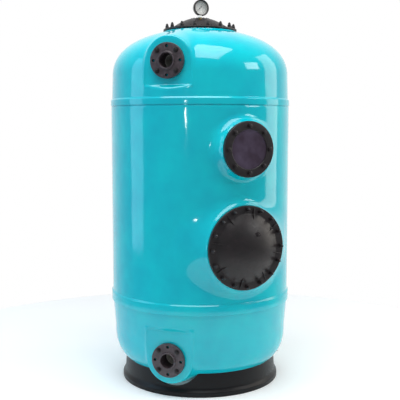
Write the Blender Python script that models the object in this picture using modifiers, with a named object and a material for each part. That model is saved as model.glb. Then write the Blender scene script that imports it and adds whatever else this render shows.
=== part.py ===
"""Commercial deep-bed sand filter tank: three glass-fibre mouldings on a plastic stand.

Metres, +Z up. The origin is on the tank's axis, on the floor. A heading is an angle about the
tank's axis, measured from -Y towards +X: the two nozzles are at heading 0, and the manway, the
sight glass and the pressure gauge share another. Each piece is its own object and solid.
"""

import math

import bmesh
import bpy
from mathutils import Euler, Vector

# ---- fits ----
GAP = 0.0003
BOLT_CLEARANCE = 0.0008
ROOM = 0.02  # how far a cutter runs past what it cuts

# ---- tank body ----
TANK_RADIUS = 0.550
WALL = 0.009
SHELL_SEGMENTS = 40
NECK_SEGMENTS = 32
NECK_REACH = 0.12  # how far a neck runs on inwards, where the tank is hollow
DOME_STEPS = 6

UPPER_BAND_LOW = 1.694
UPPER_BAND_HEIGHT = 0.036
UPPER_BAND_PROUD = 0.003
LOWER_BAND_LOW = 0.4995
LOWER_BAND_HEIGHT = 0.057
LOWER_BAND_PROUD = 0.0073
BAND_SLOPE = 0.010
LAP_END = 0.008
LAP_GROOVE = 0.004

# ---- top moulding ----
TOP_WALL_RADIUS = TANK_RADIUS - 0.0055
TOP_KNUCKLE_RADIUS = TANK_RADIUS - 0.0095
TOP_KNUCKLE_Z = UPPER_BAND_LOW + 0.176
TOP_CROWN_RISE = 0.290
TOP_CROWN_POWER = 2.3
LID_NECK_RADIUS = 0.222
LID_NECK_BORE = 0.192
LID_NECK_DEPTH = 0.032
LID_FACE_Z = TOP_KNUCKLE_Z + TOP_CROWN_RISE - 0.010

# ---- bottom moulding ----
BOTTOM_KNUCKLE_RADIUS = TANK_RADIUS - 0.0143
BOTTOM_KNUCKLE_Z = LOWER_BAND_LOW - 0.163
BOTTOM_CROWN_DROP = 0.300
BOTTOM_CROWN_POWER = 2.8

# ---- nozzle pads and flanges (DN80, PN10 drilling) ----
NOZZLE_HEADING = 0.0
UPPER_NOZZLE_Z = TOP_KNUCKLE_Z + 0.066
LOWER_NOZZLE_Z = BOTTOM_KNUCKLE_Z - 0.1085
PAD_PLANE = TANK_RADIUS - 0.028
PAD_ROOM = 0.06  # how far the recess in front of a pad is cut
PAD_RADIUS = 0.141
PAD_STRAIGHT = 0.134
LOWER_PAD_STRAIGHT = 0.172
PAD_WALL = 0.012
PAD_DRAFT = 0.25
PAD_ROOT = PAD_PLANE - 0.262
FLANGE_RADIUS = 0.100
FLANGE_THICKNESS = 0.022
FLANGE_BORE = 0.0415
FLANGE_HUB_RADIUS = 0.0495
FLANGE_HUB_PROUD = 0.011
FLANGE_PITCH_RADIUS = 0.080
FLANGE_HOLE_RADIUS = 0.009
FLANGE_HOLES = 8
FLANGE_SPIGOT_RADIUS = 0.054
FLANGE_SPIGOT_LENGTH = 0.060
FLANGE_BOLTS = 4
FLANGE_BOLT_RADIUS = 0.0075

# ---- manway ----
MANWAY_HEADING = 47.0
MANWAY_Z = 0.885
MANWAY_FACE = TANK_RADIUS + 0.016
MANWAY_NECK_RADIUS = 0.247
MANWAY_NECK_ROOT_RADIUS = 0.340
MANWAY_NECK_ROOT = TANK_RADIUS - 0.130
MANWAY_BORE = 0.200
MANWAY_LIP = 0.024
COVER_RADIUS = 0.2425
COVER_FLANGE = 0.016
COVER_DOME_RADIUS = 0.196
COVER_DOME_RISE = 0.065
COVER_WALL = 0.014
COVER_PITCH_RADIUS = 0.222
COVER_STUDS = 16
PLUG_RADIUS = 0.013
PLUG_ACROSS = 0.039
PLUG_UP = 0.079
PLUG_LENGTH = 0.018
PLUG_SHANK_RADIUS = 0.009

# ---- sight glass ----
SIGHT_Z = UPPER_BAND_LOW - 0.250
SIGHT_FACE = TANK_RADIUS + 0.038
SIGHT_NECK_RADIUS = 0.163
SIGHT_NECK_ROOT_RADIUS = 0.196
SIGHT_NECK_ROOT = TANK_RADIUS - 0.045
SIGHT_BORE = 0.106
SIGHT_LIP = 0.030
SIGHT_RING_RADIUS = 0.158
SIGHT_RING_BORE = 0.111
SIGHT_RING_LIP = 0.0055
SIGHT_PITCH_RADIUS = 0.131
SIGHT_BOLTS = 8
PANE_RADIUS = 0.120
PANE_THICKNESS = 0.015

# ---- top lid ----
LID_RADIUS = 0.226
LID_FLANGE = 0.012
LID_DOME_RADIUS = 0.180
LID_DOME_RISE = 0.071
LID_WALL = 0.012
LID_PITCH_RADIUS = 0.207
LID_STUDS = 16
LID_STUD_PHASE = 11.25

# ---- gaskets, studs and bolts ----
GASKET = 0.003
GASKET_WIDTH = 0.012
LID_GASKET_WIDTH = 0.0065
STUD_RADIUS = 0.006
STUD_PROUD = 0.026
STUD_SIDES = 6
STUD_RING_THICKNESS = 0.006
STUD_RING_WIDTH = 0.016
STUD_RING_ROOM = 0.002
HEX_RADIUS = 0.012
HEX_HEIGHT = 0.010
WASHER_RADIUS = 0.015
WASHER_THICKNESS = 0.0025

# ---- pressure gauge ----
GAUGE_STEM_HEIGHT = 0.0134  # from the lid to the gauge's case
GAUGE_HEADING = 45.0
GAUGE_OFFSET = 0.007
GAUGE_RADIUS = 0.050
GAUGE_CASE_RADIUS = 0.046
GAUGE_CASE_WALL = 0.0025
GAUGE_BACK = 0.016
GAUGE_FRONT = 0.012
GAUGE_DIAL_THICKNESS = 0.001
GAUGE_GLASS_THICKNESS = 0.0025
GAUGE_BEZEL_LIP = 0.006
GAUGE_BEZEL_GRIP = 0.008
POINTER_THICKNESS = 0.0012
POINTER_LENGTH = 0.032
POINTER_TAIL = 0.014
POINTER_REST = 135.0
POINTER_BOSS_RADIUS = 0.004
POINTER_TAIL_RADIUS = 0.0035
POINTER_TAIL_HALF = 0.0017
POINTER_MIDDLE_HALF = 0.0013
POINTER_TIP_HALF = 0.0004
STEM_RADIUS = 0.008
STEM_THREAD_RADIUS = 0.0075
STEM_THREAD_LENGTH = 0.030

# ---- air bleed valve ----
BLEED_HEADING = 20.0
BLEED_RADIUS_FROM_AXIS = 0.100
BLEED_BODY_RADIUS = 0.011
BLEED_BODY_PROUD = 0.008
BLEED_SHANK_RADIUS = 0.008
BLEED_KNOB_RADIUS = 0.014
BLEED_KNOB_HEIGHT = 0.012

# ---- drain ----
DRAIN_HEADING = 115.0
DRAIN_FROM_AXIS = TANK_RADIUS - 0.072
DRAIN_TILT = 45.0
DRAIN_SPIGOT_RADIUS = 0.0105
DRAIN_BORE = 0.006
DRAIN_INSIDE = 0.030
DRAIN_PROUD = 0.022
DRAIN_COLLAR_RADIUS = 0.016
DRAIN_COLLAR = 0.007
DRAIN_COLLAR_LOW = 0.004
DRAIN_CAP_RADIUS = 0.0145
DRAIN_CAP_DEPTH = 0.014
DRAIN_WING_HEIGHT = 0.010
DRAIN_WING_WIDTH = 0.030
DRAIN_WING_THICKNESS = 0.006

# ---- stand ----
STAND_TOP_RADIUS = TANK_RADIUS - 0.082
STAND_WALL = 0.014
STAND_FOOT_RADIUS = STAND_TOP_RADIUS + 0.022
STAND_FOOT_HEIGHT = 0.014
STAND_WAIST_RADIUS = STAND_TOP_RADIUS + 0.009
STAND_WAIST_Z = 0.040
STAND_PAD_CLEARANCE = 0.004

# ---- pipes inside ----
PIPE_RADIUS = 0.045
PIPE_WALL = 0.0043
INLET_BEND_RADIUS = 0.070
INLET_BEND_FOOT = 0.03
INLET_BEND_TOP = 0.01
DIFFUSER_RADIUS = 0.090
DIFFUSER_HEIGHT = 0.070
HUB_RADIUS = 0.100
HUB_WALL = 0.012
HUB_HEIGHT = 0.120
HUB_FOOT_RADIUS = 0.022
HUB_FOOT_CLEARANCE = 0.0015
LATERALS = 8
LATERAL_RADIUS = 0.025
LATERAL_WALL = 0.003
LATERAL_END = TANK_RADIUS - 0.140
SOCKET_DEPTH = 0.008


# ---- scene and materials ----
def clear_scene():
    for obj in list(bpy.data.objects):
        bpy.data.objects.remove(obj)


def new_collection(name):
    made = bpy.data.collections.new(name)
    bpy.context.scene.collection.children.link(made)
    return made


def finish(name, colour, roughness, metallic=0.0, transmission=0.0):
    made = bpy.data.materials.new(name)
    made.use_nodes = True
    shader = made.node_tree.nodes["Principled BSDF"]
    shader.inputs["Base Color"].default_value = (*colour, 1.0)
    shader.inputs["Roughness"].default_value = roughness
    shader.inputs["Metallic"].default_value = metallic
    shader.inputs["Transmission Weight"].default_value = transmission
    return made


# ---- placing ----
def outward(heading):
    angle = math.radians(heading)
    return Vector((math.sin(angle), -math.cos(angle), 0.0))


def face_out(obj, heading, height, distance=0.0):
    """Turns the object's own Z outward along a heading, with its own Y upwards."""
    obj.location = outward(heading) * distance + Vector((0.0, 0.0, height))
    obj.rotation_euler = Euler((math.radians(90.0), 0.0, math.radians(heading)))
    return obj


# ---- shapes ----
def add_mesh(name, mesh, material=None):
    """A mesh as an object: a part of the tank when it has a material, and a cutter when not."""
    obj = bpy.data.objects.new(name, mesh)
    if material:
        parts.objects.link(obj)
        obj.data.materials.append(material)
    else:
        cutters.objects.link(obj)
        obj.hide_render = True
        obj.display_type = "WIRE"
    return obj


def turned(name, profile, material=None, segments=SHELL_SEGMENTS, ring=False, phase=0.5):
    """A shape turned about Z from (radius, height) points that run down its outer side.

    The profile stands a share of a segment off +X, so that no edge meets a bolt hole's.
    """
    turn = 2.0 * math.pi / segments * phase
    across = math.cos(turn)
    along = math.sin(turn)
    edges = [(i, i + 1) for i in range(len(profile) - 1)]
    if ring:
        edges.append((len(profile) - 1, 0))
    mesh = bpy.data.meshes.new(name)
    mesh.from_pydata([(r * across, r * along, z) for r, z in profile], edges, [])
    obj = add_mesh(name, mesh, material)
    screw = obj.modifiers.new("turn", "SCREW")
    screw.steps = segments
    screw.render_steps = segments
    screw.use_merge_vertices = True
    screw.merge_threshold = 0.00005
    screw.use_smooth_shade = True
    return obj


def boolean(obj, other, operation):
    modifier = obj.modifiers.new(f"{operation.lower()} {other.name}", "BOOLEAN")
    modifier.operation = operation
    modifier.object = other
    modifier.solver = "EXACT"


def simplify(obj):
    """Joins the flat faces that the Booleans split."""
    modifier = obj.modifiers.new("flat faces", "DECIMATE")
    modifier.decimate_type = "DISSOLVE"
    modifier.angle_limit = math.radians(0.1)


def cut(obj, other):
    boolean(obj, other, "DIFFERENCE")


def join(obj, other):
    boolean(obj, other, "UNION")


def pins(name, count, pitch, radius, low, high, phase=0.0, sides=STUD_SIDES):
    """Cylinders on a pitch circle about Z, the first of them at +Y turned by the phase.

    Their radius is measured to their flats.
    """
    shape = bmesh.new()
    corner = radius / math.cos(math.pi / sides)
    for i in range(count):
        angle = math.radians(90.0 - phase) - 2.0 * math.pi * i / count
        made = bmesh.ops.create_cone(
            shape, cap_ends=True, segments=sides, radius1=corner, radius2=corner, depth=high - low
        )
        centre = Vector((pitch * math.cos(angle), pitch * math.sin(angle), (low + high) / 2.0))
        bmesh.ops.translate(shape, verts=made["verts"], vec=centre)
    mesh = bpy.data.meshes.new(name)
    shape.to_mesh(mesh)
    shape.free()
    return add_mesh(name, mesh)


def rod(name, radius, low, high, segments=20):
    """A cylinder about Z, with the radius measured to its flats."""
    corner = radius / math.cos(math.pi / segments)
    profile = [(0.0, high), (corner, high), (corner, low), (0.0, low)]
    return turned(name, profile, None, segments, phase=0.25)


def box(name, low, high, material=None):
    shape = bmesh.new()
    bmesh.ops.create_cube(shape, size=1.0)
    size = [b - a for a, b in zip(low, high)]
    bmesh.ops.scale(shape, verts=shape.verts, vec=size)
    bmesh.ops.translate(shape, verts=shape.verts, vec=[(a + b) / 2.0 for a, b in zip(low, high)])
    mesh = bpy.data.meshes.new(name)
    shape.to_mesh(mesh)
    shape.free()
    return add_mesh(name, mesh, material)


def arch(name, radius, straight, near, far, spread, up=1.0, steps=14):
    """A block with an arched outline about Z: it runs from near to far, widening by spread."""
    shape = bmesh.new()
    outline = []
    for i in range(steps + 1):
        angle = math.pi * i / steps
        outline.append((radius * math.cos(angle), up * radius * math.sin(angle)))
    outline += [(-radius, -up * straight), (radius, -up * straight)]
    face = shape.faces.new([shape.verts.new((x, y, near)) for x, y in outline])
    moved = bmesh.ops.extrude_face_region(shape, geom=[face])
    ends = [v for v in moved["geom"] if isinstance(v, bmesh.types.BMVert)]
    bmesh.ops.scale(shape, verts=ends, vec=(1.0 + spread / radius, 1.0 + spread / radius, 1.0))
    bmesh.ops.translate(shape, verts=ends, vec=(0.0, 0.0, far - near))
    bmesh.ops.recalc_face_normals(shape, faces=shape.faces)
    mesh = bpy.data.meshes.new(name)
    shape.to_mesh(mesh)
    shape.free()
    return add_mesh(name, mesh)


def crown(radius, rise, power, start, end, steps=DOME_STEPS):
    """Points of a crown's quarter, (radius, rise), between two shares of the right angle."""
    points = []
    for i in range(steps + 1):
        angle = math.pi / 2.0 * (start + (end - start) * i / steps)
        across = max(math.cos(angle), 0.0) ** (2.0 / power)
        up = max(math.sin(angle), 0.0) ** (2.0 / power)
        points.append((radius * across, rise * up))
    return points


def crown_share(radius, power, at):
    """The share of the right angle at which a crown's outline passes a radius."""
    return math.acos((at / radius) ** (power / 2.0)) / (math.pi / 2.0)


def cap_height(radius, rise, at):
    """The height of a spherical cap above its rim, at a distance from its axis."""
    ball = (radius**2 + rise**2) / (2.0 * rise)
    return math.sqrt(ball**2 - at**2) - (ball - rise)


# ---- the three mouldings ----
upper_band_high = UPPER_BAND_LOW + UPPER_BAND_HEIGHT
lower_band_high = LOWER_BAND_LOW + LOWER_BAND_HEIGHT
upper_band_radius = TANK_RADIUS + UPPER_BAND_PROUD
lower_band_radius = TANK_RADIUS + LOWER_BAND_PROUD
upper_spigot_radius = upper_band_radius - WALL - GAP
lower_spigot_radius = lower_band_radius - WALL - GAP


def top_profile(inset):
    """The top moulding's turned side, inset by a wall or not, from its crown to its band."""
    knuckle = TOP_KNUCKLE_RADIUS - inset
    neck = LID_NECK_RADIUS + 2.0 * inset
    share = crown_share(knuckle, TOP_CROWN_POWER, neck)
    points = crown(knuckle, TOP_CROWN_RISE - inset, TOP_CROWN_POWER, share, 0.0)
    points = [(r, TOP_KNUCKLE_Z + z) for r, z in points]
    points.append((TOP_WALL_RADIUS - inset, upper_band_high + BAND_SLOPE / 2.0 + inset / 2.0))
    points.append((upper_band_radius - inset, upper_band_high - BAND_SLOPE / 2.0 + inset / 2.0))
    return points


def bottom_profile(inset):
    """The bottom moulding's turned side, inset by a wall or not, from its spigot to its pole."""
    spigot = lower_spigot_radius - inset
    points = [(spigot, LOWER_BAND_LOW - LAP_GROOVE)]
    turn = crown(
        BOTTOM_KNUCKLE_RADIUS - inset, BOTTOM_CROWN_DROP - inset, BOTTOM_CROWN_POWER, 0.0, 1.0, DOME_STEPS + 2
    )
    points += [(r, BOTTOM_KNUCKLE_Z - z) for r, z in turn[:-1]]
    points.append((0.0, BOTTOM_KNUCKLE_Z - BOTTOM_CROWN_DROP + inset))
    return points


def bottom_height(at):
    """The height of the bottom moulding's outside, at a distance from the tank's axis."""
    share = 1.0 - (at / BOTTOM_KNUCKLE_RADIUS) ** BOTTOM_CROWN_POWER
    return BOTTOM_KNUCKLE_Z - BOTTOM_CROWN_DROP * share ** (1.0 / BOTTOM_CROWN_POWER)


def add_pad(shell, inside, label, height, straight, up):
    """Gives a moulding its flat nozzle pad: a drafted boss, a flat recess and the wall behind."""
    spread = PAD_DRAFT * (PAD_PLANE - PAD_ROOT)
    boss = arch(f"{label}_boss", PAD_RADIUS, straight, PAD_PLANE, PAD_ROOT, spread, up)
    join(shell, face_out(boss, NOZZLE_HEADING, height))
    recess = arch(f"{label}_recess", PAD_RADIUS, straight, PAD_PLANE, PAD_PLANE + PAD_ROOM, PAD_ROOM, up)
    cut(shell, face_out(recess, NOZZLE_HEADING, height))
    hollow = arch(
        f"{label}_hollow",
        PAD_RADIUS - PAD_WALL,
        straight - PAD_WALL,
        PAD_PLANE + PAD_WALL,
        PAD_ROOT - PAD_WALL,
        spread,
        up,
    )
    join(inside, face_out(hollow, NOZZLE_HEADING, height))
    side = PAD_RADIUS + 2.0 * PAD_WALL
    ends = sorted((-up * (straight + 4.0 * PAD_WALL), up * side))
    behind = PAD_PLANE - PAD_WALL
    backing = box(f"{label}_backing", (-side, ends[0], behind), (side, ends[1], TANK_RADIUS + PAD_ROOM))
    cut(inside, face_out(backing, NOZZLE_HEADING, height))
    cut(shell, inside)
    bore = rod(f"{label}_bore", FLANGE_SPIGOT_RADIUS + GAP, PAD_PLANE - 3.0 * PAD_WALL, PAD_PLANE + PAD_ROOM)
    cut(shell, face_out(bore, NOZZLE_HEADING, height))
    holes = pins(
        f"{label}_pad_holes",
        FLANGE_BOLTS,
        FLANGE_PITCH_RADIUS,
        FLANGE_BOLT_RADIUS + BOLT_CLEARANCE,
        PAD_PLANE - 3.0 * PAD_WALL,
        PAD_PLANE + PAD_ROOM,
        360.0 / FLANGE_HOLES,
    )
    cut(shell, face_out(holes, NOZZLE_HEADING, height))


def make_top_shell():
    outer = [(0.0, LID_FACE_Z), (LID_NECK_RADIUS, LID_FACE_Z)]
    outer += top_profile(0.0)
    outer += [(upper_band_radius, UPPER_BAND_LOW), (0.0, UPPER_BAND_LOW)]
    shell = turned("top_shell", outer, gelcoat)
    inner = [(0.0, LID_FACE_Z + ROOM), (LID_NECK_BORE, LID_FACE_Z + ROOM)]
    inner.append((LID_NECK_BORE, LID_FACE_Z - LID_NECK_DEPTH))
    inner.append((LID_PITCH_RADIUS + STUD_RING_WIDTH / 2.0 + STUD_RING_ROOM, LID_FACE_Z - LID_NECK_DEPTH))
    inner += top_profile(WALL)
    inner += [(upper_band_radius - WALL, UPPER_BAND_LOW - ROOM), (0.0, UPPER_BAND_LOW - ROOM)]
    inside = turned("top_inside", inner)
    add_pad(shell, inside, "upper", UPPER_NOZZLE_Z, PAD_STRAIGHT, 1.0)
    low = LID_FACE_Z - LID_NECK_DEPTH - ROOM
    radius = STUD_RADIUS + BOLT_CLEARANCE
    cut(shell, pins("lid_neck_holes", LID_STUDS, LID_PITCH_RADIUS, radius, low, LID_FACE_Z + ROOM, LID_STUD_PHASE))
    return shell


def make_bottom_shell():
    top = lower_band_high - LAP_END - BAND_SLOPE
    outer = [(0.0, top), (lower_spigot_radius, top)] + bottom_profile(0.0)
    shell = turned("bottom_shell", outer, gelcoat)
    inner = [(0.0, top + ROOM), (lower_spigot_radius - WALL, top + ROOM)] + bottom_profile(WALL)
    inside = turned("bottom_inside", inner)
    add_pad(shell, inside, "lower", LOWER_NOZZLE_Z, LOWER_PAD_STRAIGHT, -1.0)
    cut(shell, place_drain(rod("drain_hole", DRAIN_SPIGOT_RADIUS + GAP, -DRAIN_INSIDE - ROOM, ROOM, 16)))
    return shell


def add_neck(shell, label, height, face, radius, root_radius, root, bore, lip, ledge):
    """Joins a flared neck to the middle moulding, and returns the hollow to cut from it.

    The hollow is the bore through the lip, a flat ledge behind the lip, and then the flare.
    """
    low = root - NECK_REACH
    profile = [(0.0, face), (radius, face), (radius, face - lip / 2.0), (root_radius, root)]
    profile += [(root_radius, low), (0.0, low)]
    neck = turned(f"{label}_neck", profile, None, NECK_SEGMENTS)
    join(shell, face_out(neck, MANWAY_HEADING, height))
    inside_root = root_radius - 2.0 * WALL
    hollow = [(0.0, face + ROOM), (bore, face + ROOM), (bore, face - lip), (ledge, face - lip)]
    hollow += [(inside_root, root - WALL), (inside_root, low - ROOM), (0.0, low - ROOM)]
    return face_out(turned(f"{label}_bore", hollow, None, NECK_SEGMENTS), MANWAY_HEADING, height)


def make_middle_shell():
    spigot_top = upper_band_high - LAP_END
    shoulder = UPPER_BAND_LOW - LAP_GROOVE
    outer = [(0.0, spigot_top), (upper_spigot_radius, spigot_top), (upper_spigot_radius, shoulder)]
    outer += [(TANK_RADIUS, shoulder), (TANK_RADIUS, lower_band_high + BAND_SLOPE / 2.0)]
    outer += [(lower_band_radius, lower_band_high - BAND_SLOPE / 2.0), (lower_band_radius, LOWER_BAND_LOW)]
    outer.append((0.0, LOWER_BAND_LOW))
    shell = turned("middle_shell", outer, gelcoat)
    inner = [(0.0, spigot_top + ROOM), (upper_spigot_radius - WALL, spigot_top + ROOM)]
    inner.append((upper_spigot_radius - WALL, shoulder - BAND_SLOPE))
    inner.append((TANK_RADIUS - WALL, shoulder - 2.0 * BAND_SLOPE))
    inner.append((TANK_RADIUS - WALL, lower_band_high))
    inner.append((lower_band_radius - WALL, lower_band_high - BAND_SLOPE))
    inner += [(lower_band_radius - WALL, LOWER_BAND_LOW - ROOM), (0.0, LOWER_BAND_LOW - ROOM)]
    inside = turned("middle_inside", inner)
    manway = add_neck(
        shell,
        "manway",
        MANWAY_Z,
        MANWAY_FACE,
        MANWAY_NECK_RADIUS,
        MANWAY_NECK_ROOT_RADIUS,
        MANWAY_NECK_ROOT,
        MANWAY_BORE,
        MANWAY_LIP,
        COVER_PITCH_RADIUS + STUD_RING_WIDTH / 2.0 + STUD_RING_ROOM,
    )
    sight = add_neck(
        shell,
        "sight",
        SIGHT_Z,
        SIGHT_FACE,
        SIGHT_NECK_RADIUS,
        SIGHT_NECK_ROOT_RADIUS,
        SIGHT_NECK_ROOT,
        SIGHT_BORE,
        SIGHT_LIP,
        SIGHT_BORE + WALL,
    )
    cut(shell, inside)
    cut(shell, manway)
    cut(shell, sight)
    radius = STUD_RADIUS + BOLT_CLEARANCE
    low = MANWAY_FACE - MANWAY_LIP - ROOM
    holes = pins("manway_neck_holes", COVER_STUDS, COVER_PITCH_RADIUS, radius, low, MANWAY_FACE + ROOM)
    cut(shell, face_out(holes, MANWAY_HEADING, MANWAY_Z))
    low = SIGHT_FACE - SIGHT_LIP * 0.8
    holes = pins("sight_neck_holes", SIGHT_BOLTS, SIGHT_PITCH_RADIUS, radius, low, SIGHT_FACE + ROOM)
    cut(shell, face_out(holes, MANWAY_HEADING, SIGHT_Z))
    return shell


# ---- stand ----
def make_stand():
    seat = 2.0 * GAP
    inner = STAND_TOP_RADIUS - STAND_WALL
    profile = [(STAND_TOP_RADIUS, bottom_height(STAND_TOP_RADIUS) - seat)]
    profile += [(STAND_WAIST_RADIUS, STAND_WAIST_Z), (STAND_FOOT_RADIUS, STAND_FOOT_HEIGHT)]
    profile += [(STAND_FOOT_RADIUS, 0.0), (inner - STAND_WALL, 0.0), (inner - STAND_WALL, STAND_FOOT_HEIGHT)]
    profile += [(inner, STAND_WAIST_Z), (inner, bottom_height(inner) - seat)]
    stand = turned("base_stand", profile, black_plastic, ring=True)
    spread = PAD_DRAFT * (PAD_PLANE - PAD_ROOT)
    radius = PAD_RADIUS + STAND_PAD_CLEARANCE
    gate = arch("stand_gate", radius, LOWER_PAD_STRAIGHT, PAD_PLANE + STAND_FOOT_HEIGHT, PAD_ROOT, spread, -1.0)
    cut(stand, face_out(gate, NOZZLE_HEADING, LOWER_NOZZLE_Z))
    return stand


# ---- nozzle flanges ----
def make_flange(label, height):
    back = PAD_PLANE + GAP
    front = back + FLANGE_THICKNESS
    profile = [(FLANGE_HUB_RADIUS, front + FLANGE_HUB_PROUD), (FLANGE_HUB_RADIUS, front)]
    profile += [(FLANGE_RADIUS, front), (FLANGE_RADIUS, back), (FLANGE_SPIGOT_RADIUS, back)]
    inner_end = PAD_PLANE - FLANGE_SPIGOT_LENGTH
    profile += [(FLANGE_SPIGOT_RADIUS, inner_end), (FLANGE_BORE, inner_end)]
    profile.append((FLANGE_BORE, front + FLANGE_HUB_PROUD))
    flange = turned(f"{label}_flange", profile, grey_plastic, 24, ring=True)
    radius = FLANGE_HOLE_RADIUS
    holes = pins(f"{label}_flange_holes", FLANGE_HOLES, FLANGE_PITCH_RADIUS, radius, back - ROOM, front + ROOM)
    cut(flange, holes)
    face_out(flange, NOZZLE_HEADING, height)
    face_out(holes, NOZZLE_HEADING, height)
    return front


def make_bolt(name, shank_radius, shank_end, seat):
    """A bolt along its own Z: washer and hexagon on the seat, shank down to the shank end."""
    bottom = seat + GAP
    washer = bottom + WASHER_THICKNESS
    profile = [(0.0, washer), (WASHER_RADIUS, washer), (WASHER_RADIUS, bottom)]
    profile += [(shank_radius, bottom), (shank_radius, shank_end), (0.0, shank_end)]
    bolt = turned(name, profile, black_plastic, 8)
    hexagon = rod(f"{name}_hexagon", HEX_RADIUS, washer - WASHER_THICKNESS / 2.0, washer + HEX_HEIGHT, 6)
    join(bolt, hexagon)
    return bolt, hexagon


def place_on_circle(objects, heading, height, pitch, angle):
    """Faces objects outward and moves them to an angle, from up, on a circle about that axis."""
    turn = math.radians(angle)
    side = Vector((math.cos(math.radians(heading)), math.sin(math.radians(heading)), 0.0))
    for obj in objects:
        face_out(obj, heading, height + pitch * math.cos(turn))
        obj.location += side * pitch * math.sin(turn)


def make_flange_bolts(label, height, front):
    for i in range(FLANGE_BOLTS):
        angle = 360.0 / FLANGE_HOLES + 360.0 * i / FLANGE_BOLTS
        end = PAD_PLANE - 2.0 * PAD_WALL
        made = make_bolt(f"{label}_flange_bolt_{i + 1}", FLANGE_BOLT_RADIUS, end, front)
        place_on_circle(made, NOZZLE_HEADING, height, FLANGE_PITCH_RADIUS, angle)


# ---- domed lids, their gaskets and stud rings ----
def domed_lid(name, radius, flange, dome_radius, rise, wall, material, steps=5):
    """A domed lid about Z, its flange standing on Z = 0."""
    outer = []
    for i in range(steps + 1):
        at = dome_radius * i / steps
        outer.append((at, flange + cap_height(dome_radius, rise, at)))
    outer += [(radius, flange), (radius, 0.0)]
    inner = []
    for i in range(steps, -1, -1):
        at = (dome_radius - wall) * i / steps
        inner.append((at, max(flange - wall, 0.0) + cap_height(dome_radius - wall, rise - wall / 3.0, at)))
    outer += inner
    return turned(name, outer, material, 32)


def stud_ring(name, pitch, count, low, high, phase):
    """A ring with studs standing on it, about Z."""
    inner = pitch - STUD_RING_WIDTH / 2.0
    outer = pitch + STUD_RING_WIDTH / 2.0
    top = low + STUD_RING_THICKNESS
    ring = turned(name, [(outer, top), (outer, low), (inner, low), (inner, top)], steel, 32, ring=True)
    studs = pins(f"{name}_studs", count, pitch, STUD_RADIUS, low + STUD_RING_THICKNESS / 2.0, high, phase)
    join(ring, studs)
    return ring, studs


def inside_studs(pitch):
    """The largest radius that clears the studs on a pitch circle."""
    return pitch - (STUD_RADIUS + BOLT_CLEARANCE) / math.cos(math.pi / STUD_SIDES)


def gasket(name, radius, width, low, high):
    profile = [(radius, high), (radius, low), (radius - width, low), (radius - width, high)]
    return turned(name, profile, rubber, 32, ring=True)


def make_top_lid():
    seat = LID_FACE_Z + GAP
    lid_z = seat + GASKET + GAP
    gasket("top_lid_gasket", inside_studs(LID_PITCH_RADIUS), LID_GASKET_WIDTH, seat, seat + GASKET)
    lid = domed_lid("top_lid", LID_RADIUS, LID_FLANGE, LID_DOME_RADIUS, LID_DOME_RISE, LID_WALL, black_plastic)
    lid.location.z = lid_z
    radius = STUD_RADIUS + BOLT_CLEARANCE
    top = lid_z + LID_FLANGE
    cut(lid, pins("top_lid_holes", LID_STUDS, LID_PITCH_RADIUS, radius, lid_z - ROOM, top + ROOM, LID_STUD_PHASE))
    crest = lid_z + LID_FLANGE + LID_DOME_RISE
    cut(lid, rod("gauge_thread", STEM_THREAD_RADIUS + GAP, crest - STEM_THREAD_LENGTH - ROOM, crest + ROOM, 12))
    low = LID_FACE_Z - LID_NECK_DEPTH - GAP - STUD_RING_THICKNESS
    stud_ring("top_lid_stud_ring", LID_PITCH_RADIUS, LID_STUDS, low, top + STUD_PROUD, LID_STUD_PHASE)
    return lid, lid_z, crest


def make_manway_cover():
    seat = MANWAY_FACE + GAP
    back = seat + GASKET + GAP
    sealed = gasket("manway_gasket", inside_studs(COVER_PITCH_RADIUS), GASKET_WIDTH, seat, seat + GASKET)
    face_out(sealed, MANWAY_HEADING, MANWAY_Z)
    cover = domed_lid(
        "manway_cover", COVER_RADIUS, COVER_FLANGE, COVER_DOME_RADIUS, COVER_DOME_RISE, COVER_WALL, black_plastic
    )
    face_out(cover, MANWAY_HEADING, MANWAY_Z, back)
    hole = STUD_RADIUS + BOLT_CLEARANCE
    front = back + COVER_FLANGE
    holes = pins("manway_cover_holes", COVER_STUDS, COVER_PITCH_RADIUS, hole, back - ROOM, front + ROOM)
    cut(cover, face_out(holes, MANWAY_HEADING, MANWAY_Z))
    low = MANWAY_FACE - MANWAY_LIP - GAP - STUD_RING_THICKNESS
    made = stud_ring("manway_stud_ring", COVER_PITCH_RADIUS, COVER_STUDS, low, front + STUD_PROUD, 0.0)
    for obj in made:
        face_out(obj, MANWAY_HEADING, MANWAY_Z)
    make_manway_plug(cover, front)
    return cover


def make_manway_plug(cover, front):
    """A hexagon plug screwed through the cover's dome."""
    at = math.hypot(PLUG_ACROSS, PLUG_UP)
    surface = front + cap_height(COVER_DOME_RADIUS, COVER_DOME_RISE, at)
    angle = math.degrees(math.atan2(PLUG_ACROSS, PLUG_UP))
    low = surface - 2.0 * COVER_WALL
    hole = rod("manway_plug_hole", PLUG_SHANK_RADIUS + GAP, low - ROOM, surface + ROOM, 12)
    spot = rod("manway_plug_spot", PLUG_RADIUS + 4.0 * GAP, surface, surface + ROOM, 16)
    head = surface + PLUG_LENGTH / 2.0
    profile = [(0.0, head), (PLUG_RADIUS, head), (PLUG_RADIUS, surface + GAP)]
    profile += [(PLUG_SHANK_RADIUS, surface + GAP), (PLUG_SHANK_RADIUS, low), (0.0, low)]
    plug = turned("manway_plug", profile, black_plastic, 12)
    place_on_circle([hole, spot, plug], MANWAY_HEADING, MANWAY_Z, at, angle)
    cut(cover, hole)
    cut(cover, spot)


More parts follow.
